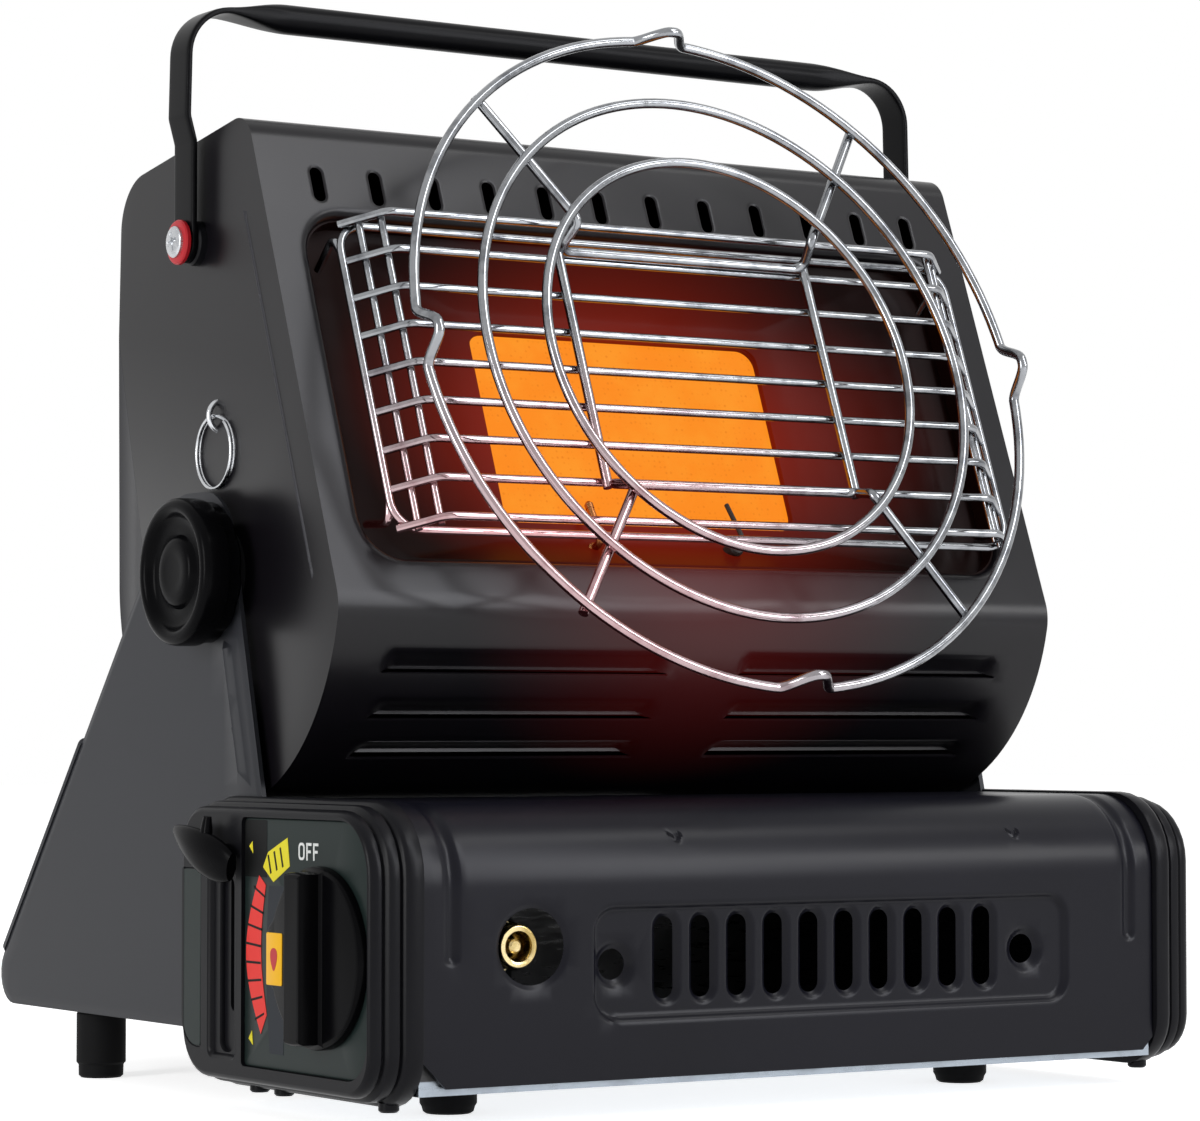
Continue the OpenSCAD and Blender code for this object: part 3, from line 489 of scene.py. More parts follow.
def grain_group():
    """Fine paint or moulding grain for a bump, and the patchy sheen that comes with it."""
    group, n = new_group("surface_grain", [("Scale", 900.0), ("Patch Scale", 14.0)],
                         [("Height", "NodeSocketFloat"), ("Patch", "NodeSocketFloat")])
    start, end = n.ends()
    at = n.object_at()
    fine = n.noise(at, start.outputs["Scale"], 2.0, 0.5)
    lumps = n.noise(at, n.math("MULTIPLY", start.outputs["Scale"], 0.22), 2.0, 0.5)
    n.link(n.math("ADD", n.math("MULTIPLY", fine, 0.6), n.math("MULTIPLY", lumps, 0.4)),
           end.inputs["Height"])
    n.link(n.noise(at, start.outputs["Patch Scale"], 4.0, 0.6), end.inputs["Patch"])
    return group


def dust_group():
    """Thin dust that settles on faces that look up, broken by patches and specks."""
    group, n = new_group("settled_dust", [("Amount", 0.3), ("Speck Scale", 260.0)],
                         [("Mask", "NodeSocketFloat")])
    start, end = n.ends()
    at = n.object_at()
    up = n.add("ShaderNodeSeparateXYZ", None,
               Vector=n.add("ShaderNodeNewGeometry").outputs["Normal"]).outputs["Z"]
    lying = n.spread(up, 0.2, 1.0)
    cloud = n.spread(n.noise(at, 22.0, 5.0, 0.65), 0.4, 0.75)
    specks = n.spread(n.noise(at, start.outputs["Speck Scale"], 1.0), 0.7, 0.78)
    amount = n.math("MULTIPLY", start.outputs["Amount"],
                    n.math("ADD", n.math("MULTIPLY", cloud, 0.7), n.math("MULTIPLY", specks, 0.5)))
    n.link(n.math("MULTIPLY", amount, n.math("ADD", n.math("MULTIPLY", lying, 0.8), 0.2), True),
           end.inputs["Mask"])
    return group


def drawn_group():
    """Fine lines along one axis, as drawn wire and rolled sheet carry, with stains."""
    group, n = new_group("drawn_lines", [("Scale", 60.0), ("Stretch", 20.0)],
                         [("Line", "NodeSocketFloat"), ("Stain", "NodeSocketFloat")])
    start, end = n.ends()
    at = n.object_at()
    wide = n.add("ShaderNodeCombineXYZ", None, X=1.0, Y=start.outputs["Stretch"],
                 Z=start.outputs["Stretch"]).outputs[0]
    pulled = n.add("ShaderNodeVectorMath", {"operation": "MULTIPLY"}, i0=at, i1=wide).outputs[0]
    n.link(n.noise(pulled, start.outputs["Scale"], 3.0, 0.6), end.inputs["Line"])
    n.link(n.spread(n.noise(at, 90.0, 4.0, 0.6), 0.45, 0.7), end.inputs["Stain"])
    return group


def painted_glow_group():
    """Mask for the painted glow, the plaque's red light painted on parts near it: 1 - distance /
    reach, where the distance is measured along the head's face axes and squeezed by its own reach
    on each."""
    group, n = new_group("painted_burner_glow",
                         [("Across", 0.10), ("Up", 0.06), ("Out", 0.05), ("Height", MID_H / 1000),
                          ("Sideways", 0.0)],
                         [("Painted Glow", "NodeSocketFloat")])
    start, end = n.ends()
    centre = (PIVOT + HOME) / 1000
    at = n.add("ShaderNodeVectorMath", {"operation": "SUBTRACT"}, i0=n.object_at(),
               i1=tuple(centre)).outputs[0]

    def along(axis):
        return n.add("ShaderNodeVectorMath", {"operation": "DOT_PRODUCT"}, i0=at,
                     i1=tuple(axis)).outputs["Value"]

    x = n.math("SUBTRACT", along((1, 0, 0)), start.outputs["Sideways"])
    h = n.math("SUBTRACT", along(FACE_UP), start.outputs["Height"])
    d = n.math("SUBTRACT", along(FACE_OUT), FACE_D / 1000)
    total = None
    for value, reach in ((x, "Across"), (h, "Up"), (d, "Out")):
        share = n.math("ABSOLUTE", n.math("DIVIDE", value, start.outputs[reach]))
        part = n.math("POWER", share, 2.0)
        total = part if total is None else n.math("ADD", total, part)
    left = n.math("SUBTRACT", 1.0, n.math("SQRT", total), True)
    n.link(n.math("POWER", left, 1.6), end.inputs["Painted Glow"])
    return group


GROUPS = {}


def group(name):
    """The shader group of that name, built the first time it is asked for."""
    makers = {"grain": grain_group, "dust": dust_group, "drawn": drawn_group, "painted_glow_mask": painted_glow_group}
    if name not in GROUPS:
        GROUPS[name] = makers[name]()
    return GROUPS[name]


def tint(code):
    """Scene colour of a six-figure web colour."""
    c = np.array([int(code[i:i + 2], 16) for i in (1, 3, 5)]) / 255
    c = np.where(c <= 0.04045, c / 12.92, ((c + 0.055) / 1.055) ** 2.4)
    return (*c.tolist(), 1.0)


FINISHES = {}


def base_finish(name, slot, rough, metallic=0.0, specular=0.5):
    """Empty material with its shader set and its slot noted; gives its nodes and shader."""
    made = bpy.data.materials.new(name)
    made.use_nodes = True
    made["slot"] = slot
    shader = made.node_tree.nodes["Principled BSDF"]
    for key, value in (("Metallic", metallic), ("Roughness", rough),
                       ("Specular IOR Level", specular)):
        shader.inputs[key].default_value = value
    FINISHES[name] = made
    return Nodes(made.node_tree), shader


def bump(n, shader, height, depth):
    """Bump of a depth in millimetres on the shader's normal."""
    made = n.add("ShaderNodeBump", None, Height=height, Strength=1.0, Distance=depth / 1000)
    n.link(made.outputs["Normal"], shader.inputs["Normal"])


def add_painted_glow(n, shader, glow, reach):
    """Painted light: the plaque's red light emitted near the burner. Gives its share there."""
    painted_glow_share = n.shared("painted_glow_mask", **reach)["Painted Glow"]
    n.link(n.mix(painted_glow_share, (0, 0, 0, 1), tint(glow)), shader.inputs["Emission Color"])
    shader.inputs["Emission Strength"].default_value = 1.0
    return painted_glow_share


def painted(name, slot, dark, light, rough, grain, depth, specular, dust=0.0, warm=None):
    """Paint or moulded plastic: two close shades by patch, roughness that follows them,
    a fine grain, settled dust where there is any, and for pieces near the burner a painted glow of
    its red light."""
    n, shader = base_finish(name, slot, rough, specular=specular)
    g = n.shared("grain", Scale=grain)
    colour = n.mix(n.spread(g["Patch"], 0.1, 0.9), tint(dark), tint(light))
    n.link(n.spread(g["Patch"], 0.1, 0.9, rough - 0.02, rough + 0.03), shader.inputs["Roughness"])
    if dust:
        colour = n.mix(n.shared("dust", Amount=dust)["Mask"], colour, tint("#8c8a86"))
    n.link(colour, shader.inputs["Base Color"])
    # Painted light: near the burner the plaque's red light is painted on as emission
    if warm:
        add_painted_glow(n, shader, *warm)
    bump(n, shader, g["Height"], depth)


def metal(name, slot, bright, dull, rough, scale, stretch, depth, painted_shade_above=None, warm=None):
    """Bare or plated metal: drawn lines in its roughness and bump, stains in its colour,
    and where a height in millimetres is given, black above it as painted shade for the housing's
    dark inside."""
    n, shader = base_finish(name, slot, rough, metallic=1.0)
    g = n.shared("drawn", Scale=scale, Stretch=stretch)
    colour = n.mix(g["Stain"], tint(bright), tint(dull))
    n.link(n.spread(g["Line"], 0.3, 0.7, rough * 0.7, rough * 1.4), shader.inputs["Roughness"])
    # Painted light: near the burner the plaque's red light is painted on as emission, and the
    # colour pales to pink as a painted reflection of it
    if warm:
        painted_glow_share = add_painted_glow(n, shader, *warm)
        colour = n.mix(n.math("MULTIPLY", painted_glow_share, 0.8), colour, tint("#f0a0a0"))
    # Painted shade: black above a height, with the metal turned off there, for the housing's dark
    # inside
    if painted_shade_above:
        height = n.add("ShaderNodeSeparateXYZ", None, Vector=n.object_at()).outputs["Z"]
        high = n.spread(height, painted_shade_above / 1000, (painted_shade_above + 0.5) / 1000)
        colour = n.mix(high, colour, tint("#08080a"))
        n.link(n.math("SUBTRACT", 1.0, high), shader.inputs["Metallic"])
    n.link(colour, shader.inputs["Base Color"])
    bump(n, shader, g["Line"], depth)


def ceramic_finish(glow, edge):
    """Glowing plaque: small darker bores in a nearly square pattern, and paler patches."""
    n, shader = base_finish("glowing_ceramic", "ceramic", 0.9, specular=0.1)
    at = n.object_at()
    turned = n.add("ShaderNodeMapping", None, Vector=at, Rotation=(LEAN, 0, 0)).outputs[0]
    cells = n.add("ShaderNodeTexVoronoi", {"voronoi_dimensions": "3D"}, Vector=turned, Scale=520.0,
                  Randomness=0.25)
    bore = n.spread(cells.outputs["Distance"], 0.18, 0.42)
    cloud = n.spread(n.noise(at, 55.0, 4.0), 0.35, 0.7)
    hot = n.mix(n.math("MULTIPLY", cloud, 0.5), glow, edge)
    colour = n.mix(n.math("SUBTRACT", 1.0, bore), hot,
                   tuple(c * 0.82 for c in glow[:3]) + (1.0,))
    shader.inputs["Base Color"].default_value = tint("#3a1c0c")
    n.link(colour, shader.inputs["Emission Color"])
    shader.inputs["Emission Strength"].default_value = 1.0
    bump(n, shader, bore, 0.12)


# Paint and plastic: slot, darker and lighter shade, roughness, scale of the grain, its depth
# in millimetres, specular level, and dust where there is any
PAINTS = {
    "black_paint": ("painted_steel", "#0a0a11", "#0e0e16", 0.29, 1100, 0.006, 0.14),
    "shell_paint": ("painted_steel", "#0a090c", "#0e0c10", 0.29, 1100, 0.006, 0.22),
    "side_paint": ("painted_steel", "#28282c", "#2e2e33", 0.38, 900, 0.008, 0.16),
    "bracket_paint": ("painted_steel", "#26272b", "#2c2d31", 0.42, 900, 0.008, 0.16),
    "handle_paint": ("painted_steel", "#08080a", "#0c0c0e", 0.3, 700, 0.006, 0.06),
    "reflector_hot": ("hot_steel", "#100504", "#190705", 0.34, 500, 0.01, 0.04),
    # The next two are near black: painted shade for the housing's dark inside, where their parts
    # stand
    "inner_black": ("dark_steel", "#0a0a0b", "#0e0e0f", 0.6, 900, 0.012, 0.06),
    "cast_grey": ("cast_alloy", "#101114", "#17181b", 0.5, 500, 0.03, 0.1),
    "cap_plastic": ("black_plastic", "#0f0f12", "#141417", 0.30, 500, 0.008, 0.08),
    "knob_plastic": ("black_plastic", "#050506", "#08080a", 0.24, 400, 0.004, 0.035),
    "bushing_red": ("red_plastic", "#a30c18", "#bc1a26", 0.35, 400, 0.01, 0.3),
    "pointer_yellow": ("yellow_plastic", "#e8a814", "#f0bc24", 0.4, 600, 0.01, 0.2),
    "foot_rubber": ("rubber", "#0a0a0b", "#101011", 0.7, 700, 0.03, 0.1),
    "washer_nylon": ("nylon", "#cfcfc8", "#e0e0da", 0.5, 500, 0.01, 0.5, 0.1),
    "electrode_white": ("ceramic", "#1c1411", "#2c211c", 0.6, 600, 0.02, 0.5),
    "panel_green": ("panel_plastic", "#161f1e", "#1b2523", 0.35, 600, 0.006, 0.12),
    "slate_print": ("panel_plastic", "#10151c", "#151b23", 0.45, 600, 0.006, 0.15),
    "print_black": ("panel_plastic", "#050606", "#090a0a", 0.5, 600, 0.01, 0.1),
    "print_white": ("nylon", "#cfd2d0", "#e2e4e2", 0.6, 600, 0.01, 0.5),
    "scale_red": ("red_plastic", "#d82c28", "#e0443c", 0.5, 600, 0.01, 0.2),
    "scale_yellow": ("yellow_plastic", "#d3c41c", "#e2d636", 0.5, 600, 0.01, 0.2),
}

# Metal: slot, bright and dull shade, roughness, scale and stretch of the drawn lines, their
# depth in millimetres, and the height above which it turns black, as painted shade for the
# housing's dark inside
METALS = {
    "chrome": ("chrome_wire", "#8f9194", "#66686c", 0.14, 300, 6.0, 0.004),
    "bright_plate": ("bright_steel", "#c2c4c7", "#9a9ca0", 0.24, 200, 4.0, 0.004),
    # The tray is bare zinc at its lip and black above 14 mm, a painted shade for the housing's dark
    # inside
    "tray_plate": ("zinc_steel", "#8f979f", "#858c93", 0.34, 120, 6.0, 0.004, 14.0),
    "zinc_plate": ("zinc_steel", "#7e8287", "#74787d", 0.34, 120, 6.0, 0.004),
    "dark_plate": ("dark_steel", "#232528", "#1f2023", 0.42, 160, 4.0, 0.001),
    "brass_turned": ("brass", "#cdbb8c", "#a08a55", 0.22, 300, 2.0, 0.004),
    "copper_end": ("copper_tip", "#b87848", "#5d3a28", 0.35, 200, 1.0, 0.004),
}

# Painted glow near the burner, the plaque's red light painted on each finish: colour, then reach
# and middle along the face's axes in metres
PAINTED_GLOWS = {
    "shell_paint": ("#5e0e08", {"Across": 0.10, "Up": 0.105, "Out": 0.08, "Height": -0.002}),
    "reflector_hot": ("#c02a0c", {"Across": 0.12, "Up": 0.074, "Out": 0.12, "Height": 0.034}),
    "chrome": ("#301010", {"Across": 0.13, "Up": 0.10, "Out": 0.075, "Height": -0.04,
                           "Sideways": -0.06}),
}


def make_finishes(look):
    """All of the heater's finishes, from the tables and the colours in the panel."""
    for maker, table in ((painted, PAINTS), (metal, METALS)):
        for name, row in table.items():
            maker(name, *row, warm=PAINTED_GLOWS.get(name))
    ceramic_finish(tuple(look.glow), tuple(look.glow_edge))


# ---------- housing ----------

# Cover blank: its bend's radius, where on S the bend starts and how high that is, and the
# length of the top behind the bend. X runs across the blank and S up it
COVER_BEND, COVER_UP, BEND_Z, COVER_BACK = 24.0, 56.0, 68.0, 66.0
VENT_LOW, VENT_HIGH = (-76.0, 17.0), (99.0, 49.5)
SLOT_R = 3.3
SLOTS = [((x - SLOT_R, 22.5), (x + SLOT_R, 46.5)) for x in 8.7 + (np.arange(10) - 4.5) * 13.1]
HOLES, HOLE_R = ((-68.2, 33.0), (83.6, 33.0)), 4.5
INLET_HOLE, INLET_HOLE_R = (-97.2, 39.0), 11.0
GROOVES, GROOVE_R = [((x - 1, 36), (x + 1, 146)) for x in (-124, 124)], 1
MARKS = ((-45.4, 70.5), (80.5, 69.5))

# End caps: corners of the outline, distances of the face and of its back from the middle
# plane, and the shoulder behind which the cap stands out over the bracket
CAP_LOW, CAP_HIGH = np.array([-2.0, 6.6]), np.array([118.0, 92.8])
CAP_FACE, CAP_BACK = 150.0, 145.6
SHOULDER_Y, SHOULDER_X = 86.0, 137.8

# Control panel: corners, their radii, and the distance of its face
PANEL_LOW, PANEL_HIGH = (3.0, 14.5), (76.6, 87.0)
PANEL_CORNERS = [11, 1.5, 1.8, 15]
PANEL_FACE = 149.0


def cover_place(x, s, out):
    """Cover blank to space: s runs up the front, round a quarter bend of radius R, and
    back along the top: y = R - (R + out) cos a + run, z = bend + (R + out) sin a - drop."""
    a = np.clip((s - COVER_UP) / COVER_BEND, 0, math.pi / 2)
    run = np.maximum(s - COVER_UP - COVER_BEND * math.pi / 2, 0)
    y = COVER_BEND - (COVER_BEND + out) * np.cos(a) + run
    z = BEND_Z + (COVER_BEND + out) * np.sin(a) + np.minimum(s - COVER_UP, 0)
    return np.stack([x, y, z], -1)


def cartridge_cover(size):
    """Sheet with ten rolled slots in a pressed vent panel, two round holes, the inlet's
    hole, end grooves and two marks. Pressing: depth times a smooth step of the distance."""
    half = (COVER_HIGH[0] - COVER_LOW[0]) / 2
    wide, deep = half - 3, COVER_UP + COVER_BEND * math.pi / 2 + COVER_BACK
    edge = np.array([[-half + 7.8, 0], [half - 4.0, 0], [half, 4.0], [half, deep], [-half, deep],
                     [-half, 7.8]])
    slots = [round_rect(*slot, SLOT_R, 5) for slot in SLOTS]
    holes = [disc(*at, HOLE_R, 28) for at in HOLES]
    inlet = disc(*INLET_HOLE, INLET_HOLE_R, 44)
    panel = round_rect(VENT_LOW, VENT_HIGH, [9, 7, 7, 7], 6)
    grooves = [divided(round_rect(*groove, GROOVE_R, 3), 1.8) for groove in GROOVES]
    rings = (around(slots, (0.4, 0.9, 1.5, 2.1, 2.7)) + around(holes, (0.6, 1.3, 2.1, 3.2))
             + around([inlet], (0.5, 1.1, 1.8))
             + around([panel], (2.0, 0.9, 0.4, -0.2, -0.8, -1.4, -2.4))
             + around(grooves, (2.4, 1.6, 0.8, -0.1, -0.7)))
    rows = np.arange(COVER_UP - 2, COVER_UP + 40, 2.0)
    extra = np.concatenate([lattice(np.linspace(-wide, wide, 44), rows),
                            packed((-wide, 2), (wide, COVER_UP - 3), 5.0),
                            packed((-wide, COVER_UP + 40), (wide, deep - 2), 6.0),
                            packed((-49, 67), (-42, 74), 0.8), packed((77, 66), (84, 73), 0.8)])
    flat, tris = blank([divided(edge, 3.0)] + slots + holes + [inlet], rings, extra)
    x, s = flat.T
    press = -size.vent_depth * 1000 * ramp(-rect_gap(flat, VENT_LOW, VENT_HIGH, 7.0), -0.9, 1.4)
    for slot in SLOTS:
        press -= 1.7 * fall(rect_gap(flat, *slot, SLOT_R), -0.4, 2.1)
    for x0, s0 in HOLES:
        press -= 2.0 * fall(np.hypot(x - x0, s - s0) - HOLE_R, -0.3, 3.2)
    x0, s0 = INLET_HOLE
    press -= 1.1 * fall(np.hypot(x - x0, s - s0) - INLET_HOLE_R, -0.3, 1.8)
    for groove in GROOVES:
        press -= 1.1 * fall(rect_gap(flat, *groove, GROOVE_R), -0.6, 2.2)
    for x0, s0 in MARKS:
        vee = np.abs(s - s0 - np.abs(x - x0) * 1.2 + 1.5)
        press -= 0.7 * fall(vee, 0.3, 1.3) * (np.abs(x - x0) < 2.6) * (np.abs(s - s0) < 3.2)
    return thick(cover_place(x, s, press), tris, SHEET)


def upright(flat, x):
    """Points of the Y-Z plane moved to a distance from the middle plane."""
    return np.insert(flat, 0, x, axis=1)


def cap_ring(step, reach):
    """Cap outline moved in by a step, at a distance from the middle plane, with two points
    on each long side just before and behind the shoulder."""
    low, high = CAP_LOW + step, CAP_HIGH - step
    loop = round_rect(low, high, [16 - step, 18 - step, 15 - step, 22 - step], 8)
    way = np.roll(loop, -1, 0) - loop
    crossing = (loop[:, 0] < SHOULDER_Y) != (loop[:, 0] + way[:, 0] < SHOULDER_Y)
    at = np.flatnonzero(crossing & (np.abs(way[:, 1]) < 1e-6))
    y = SHOULDER_Y + np.sign(way[at, :1]) * [-0.02, 0.02]
    spots = np.stack([y, np.repeat(loop[at, 1:], 2, 1)], -1).reshape(-1, 2)
    loop = np.insert(loop, np.repeat(at + 1, 2), spots, axis=0)
    return upright(loop, np.where(loop[:, 0] > SHOULDER_Y, max(reach, SHOULDER_X), reach))


def sunk(loop, levels, inner):
    """Recess in the cap's face: its wall's steps (inset, x), and in its floor a further
    recess as (loop, steps, inner) or nothing. A wall that ends at CAP_BACK goes through.
    Gives the shapes and the loops that reach the back."""
    wall = np.concatenate([upright(inset(loop, g), x) for g, x in levels])
    shapes = [(wall, [grid_faces(len(levels), len(loop), wrap_cols=True)])]
    gap, floor = levels[-1]
    if floor == CAP_BACK:
        return shapes, [inset(loop, gap)]
    flat, tris = blank([inset(loop, gap)] + ([] if inner is None else [inner[0]]))
    shapes.append((upright(flat, floor), [tris]))
    if inner is None:
        return shapes, []
    more, through = sunk(*inner)
    return shapes + more, through


def end_cap(recesses):
    """Hollow cap at the +X end: the outline carried through the steps of three rounded
    bands, and a face with its recesses."""
    outer = [(0.7, 134.0), (0.2, 134.15), (0, 134.7), (0, 138.2), (0.25, 139.2), (0.9, 139.9),
             (1.9, 140.2), (2.3, 140.6), (2.0, 141.0), (1.5, 141.3), (1.4, 141.9), (1.4, 143.4),
             (1.6, 144.3), (2.2, 144.9), (3.2, 145.2), (3.6, 145.6), (3.3, 146.0), (2.9, 146.4),
             (2.8, 147.2), (2.95, 148.3), (3.4, 149.2), (3.9, 149.75), (4.6, 150.0)]
    inner = [(5.2, 134.0), (5.2, CAP_BACK)]
    rings = [cap_ring(*level) for level in inner[::-1] + outer]
    count = len(rings[0])
    shapes = [(np.concatenate(rings), [grid_faces(len(rings), count, wrap_cols=True)])]
    face_loop, back_loop = rings[-1][:, 1:], rings[0][:, 1:]
    through = []
    for recess in recesses:
        more, slots = sunk(*recess)
        shapes += more
        through += slots
    for loops, reach, turn in (([face_loop] + [r[0] for r in recesses], CAP_FACE, 1),
                               ([back_loop] + through, CAP_BACK, -1)):
        flat, tris = blank(loops)
        shapes.append((upright(flat, reach), [tris[:, ::turn]]))
    nubs = [lathe([(0, 5.3), (2.4, 5.3), (3, 5.9), (3, 8)], (137.5, y, 0), (0, 0, 1), 20)
            for y in (12, 73, 88)]
    return joined(welded(*joined(*shapes)), *nubs)


def panel_at(y, z, reach):
    """Place on the left cap, from the panel's flat axes."""
    y, z, reach = np.broadcast_arrays(y, z, reach)
    return np.stack([-reach, y, z], -1)


def printed(loops, reach=PANEL_FACE, lift=0.12):
    """Thin raised print on a face at a distance, bounded by flat loops."""
    shapes = []
    for loop in loops:
        area = np.sum(loop[:, 0] * np.roll(loop[:, 1], -1) - np.roll(loop[:, 0], -1) * loop[:, 1])
        loop = loop if area > 0 else loop[::-1]
        shapes.append(slab(loop, [], [(0, lift), (0, -0.1)],
                           lambda y, z, h: panel_at(y, z, reach + h)))
    return joined(*shapes)


def bowed(a, b, bulge):
    """Points from a to b on a bow: a half sine wave of a given height."""
    t = np.linspace(0, 1, 24)[:, None]
    a, b = np.array(a, float), np.array(b, float)
    side = np.array([(b - a)[1], -(b - a)[0]]) / np.linalg.norm(b - a)
    return a + (b - a) * t + side * bulge * np.sin(math.pi * t)


def dial_marks():
    """Flat loops of each print: a red crescent with black ticks, a yellow start mark with
    stripes, two yellow arrowheads, a slate band and a dark corner."""
    top, low = np.array((67.4, 70.3)), np.array((66.2, 24.3))
    ticks = []
    for t in np.linspace(0.13, 0.87, 8):
        z = low[1] + (top[1] - low[1]) * t
        y0 = 62.8 + 3.5 * math.sin(math.pi * t)
        y1 = low[0] + (top[0] - low[0]) * t + 8.3 * math.sin(math.pi * t)
        tilt = (t - 0.45) * 6.0
        ticks.append(np.array([[y0, z - 0.35], [y1, z - 0.35 + tilt], [y1, z + 0.35 + tilt],
                               [y0, z + 0.35]]))
    stripes = [np.array([[62.3 - k, 76.2 + k * 0.32], [61.5 - k, 76.5 + k * 0.32],
                         [59.8 - k, 71.2 + k * 0.28], [60.6 - k, 70.9 + k * 0.28]])
               for k in (0.0, 3.6, 7.2)]
    return {
        "dial_corner": [round_rect((62.8, 69.8), (76.4, 86.4), [0.5, 0.5, 1.6, 0.5], 5)],
        "dial_band": [np.concatenate([bowed((52.5, 67.5), (52.5, 19.0), -0.01),
                                      bowed((60.8, 19.0), (61.6, 67.5), 1.8)])],
        "dial_crescent": [np.concatenate([bowed(low, top, 8.5),
                                          bowed((63.4, 67.6), (62.6, 30.0), -3.2)])],
        "dial_start_mark": [np.array([[50.4, 81.6], [49.0, 73.4], [58.8, 68.6], [65.1, 72.8],
                                      [62.0, 77.2]])],
        "dial_arrowheads": [np.array([[73.6, 78.6], [71.6, 80.2], [71.2, 76.6]]),
                            np.array([[73.6, 22.6], [71.0, 20.8], [71.6, 25.0]])],
        "dial_ticks": ticks + stripes,
    }


def dial_off():
    """The letters OFF: a rounded ring and twice three bars."""
    outline = round_rect((40.2, 75.4), (43.8, 80.4), 1.4, 4)
    ring = slab(outline, [inset(outline, 0.75)], [(0, 0.12), (0, -0.1)],
                lambda y, z, h: panel_at(y, z, PANEL_FACE + h))
    bars = [np.array([[y - a, low], [y - b, low], [y - b, high], [y - a, high]])
            for y in (39.2, 35.2)
            for a, b, low, high in ((0.8, 0, 75.4, 80.4), (3, 0.7, 79.6, 80.4),
                                    (2.6, 0.7, 77.5, 78.3))]
    return joined(ring, printed(bars))


def control_panel():
    """Plate with eased edges and a hole for the knob's stem."""
    stem = disc(KNOB[1], KNOB[2], 7, 32)
    plate = round_rect(PANEL_LOW, PANEL_HIGH, PANEL_CORNERS, 8)
    return slab(plate, [stem], [(0.5, PANEL_FACE), (0.15, 148.85), (0, 148.6), (0, 148.25)],
                panel_at)


def gas_knob(size):
    """Disc with a rounded rim, a tongue towards the scale, and a finger bar whose top
    falls away at its ends."""
    rim = size.knob_radius * 1000

    def place(y, z, h):
        return panel_at(KNOB[1] + y, KNOB[2] + z, h)

    outline = np.concatenate([arc(28.0, -17, 17, 16), arc(rim, 20, 340, 100)[1:-1]])
    disc_part = slab(outline, [], [(1.4, 152.5), (0.5, 152.2), (0.05, 151.5), (0, 150.6),
                                   (0, 149.35)], place)
    end = rim - 1.5
    side = end * math.sin(math.radians(78))
    bar = np.concatenate([[[5.0, -side], [5.0, side]], arc(end, 78, 102, 10)[1:-1],
                          [[-5.0, side], [-5.0, -side]], arc(end, 258, 282, 10)[1:-1]])
    bar_part = slab(bar, [], [(1.6, 159.5), (0.7, 159.3), (0.2, 158.8), (0, 158.0), (0, 153.4),
                              (-0.5, 152.7), (-1.2, 152.2)], place)
    return joined(disc_part, bar_part)


def knob_pointer():
    """Pointer insert with a drop-shaped hollow for its red mark."""
    box = round_rect((KNOB[1] + 17.6, KNOB[2] - 8.8), (KNOB[1] + 27.0, KNOB[2] + 6.4), 0.6, 3)
    return slab(box, [], [(0.35, 152.75), (0.1, 152.65), (0, 152.4), (0, 151.9)], panel_at)


def pointer_drop():
    """Red mark in the pointer: y = 1.9 sin t (1 - 0.45 cos t), z = -3.3 cos t."""
    t = np.linspace(0, 2 * math.pi, 28, endpoint=False)
    wide = 1.9 * np.sin(t) * (1 - 0.45 * np.cos(t))
    drop = np.stack([KNOB[1] + 22.2 + wide, KNOB[2] - 1.3 + 3.3 * -np.cos(t)], -1)
    return printed([drop], 152.75, 0.1)


def lock_lever():
    """Beak of a thumb lever: an oval section carried along a bowed line, wide in the
    middle, with a raised thumb fin and the stem that goes in through the cap."""
    t = np.linspace(0, 1, 30)
    line = np.stack([-152.9 - 2.6 * np.sin(math.pi * t * 0.8) - 0.6 * t, 77.6 + 32.1 * t,
                     72.4 + 3.4 * np.sin(math.pi * t * 0.7) + 7.6 * t ** 1.8], -1)
    wide = 8.0 * np.sin(math.pi * np.clip(t * 0.9 + 0.07, 0, 1)) ** 0.5 * (1 - 0.62 * t) + 0.5
    body = tube(line, wide, (1, 0, 0), 22, squash=0.42)
    fin_t = np.linspace(0, 1, 12)
    fin_line = np.stack([-155.0 + 0.4 * fin_t, 90.5 - 1.0 * fin_t, 77.5 + 9.6 * fin_t], -1)
    fin = tube(fin_line, 2.6 * (1 - 0.45 * fin_t ** 2), (1, 0, 0), 16, squash=0.8)
    stem = tube([(-154.5, 86.5, 77), (-112, 86.5, 77)], 2.0, (0, 0, 1), 16)
    pin = tube([(-115, 87.6, 77), (-115, 81.0, 77)], 1.5, (0, 0, 1), 16)
    return joined(body, fin, stem, pin)


# Stand: outer side of its plates, the low end of its rear edge in Y and Z, and that edge's slope
BRACKET_X = 137.5
STAND_TIP, STAND_SLOPE = (283.0, 21.5), math.radians(50.15)


def rear_line(z):
    """How far back the stand's sloping rear edge lies at a height."""
    return STAND_TIP[0] - (z - STAND_TIP[1]) / math.tan(STAND_SLOPE)


def pressed_plate(edge, holes, rings, extra, press, reach, t, facing):
    """Flat sheet in the Y-Z plane whose outer side lies at a reach; press(flat) is how far
    each point stands out. facing is 1 for the right-hand side and -1 for the left."""
    flat, tris = blank([edge] + holes, rings, extra)
    out = press(flat)
    points = np.stack([reach + out, flat[:, 0], flat[:, 1]], -1)
    shape = thick(points, tris, t)
    return shape if facing > 0 else mirrored(shape)


def seg_gap(p, a, b):
    """Distance of flat points from the segment a-b."""
    a, b = np.array(a, float), np.array(b, float)
    t = np.clip(((p - a) @ (b - a)) / ((b - a) @ (b - a)), 0, 1)[:, None]
    return np.linalg.norm(p - a - (b - a) * t, axis=1)


def edge_gap(p, loop):
    """Distance of flat points from a closed loop's nearest side."""
    a, b = loop, np.roll(loop, -1, 0)
    d = (b - a)[None]
    t = np.clip(((p[:, None] - a[None]) * d).sum(2) / (d ** 2).sum(2), 0, 1)[..., None]
    return np.linalg.norm(p[:, None] - a[None] - d * t, axis=2).min(1)


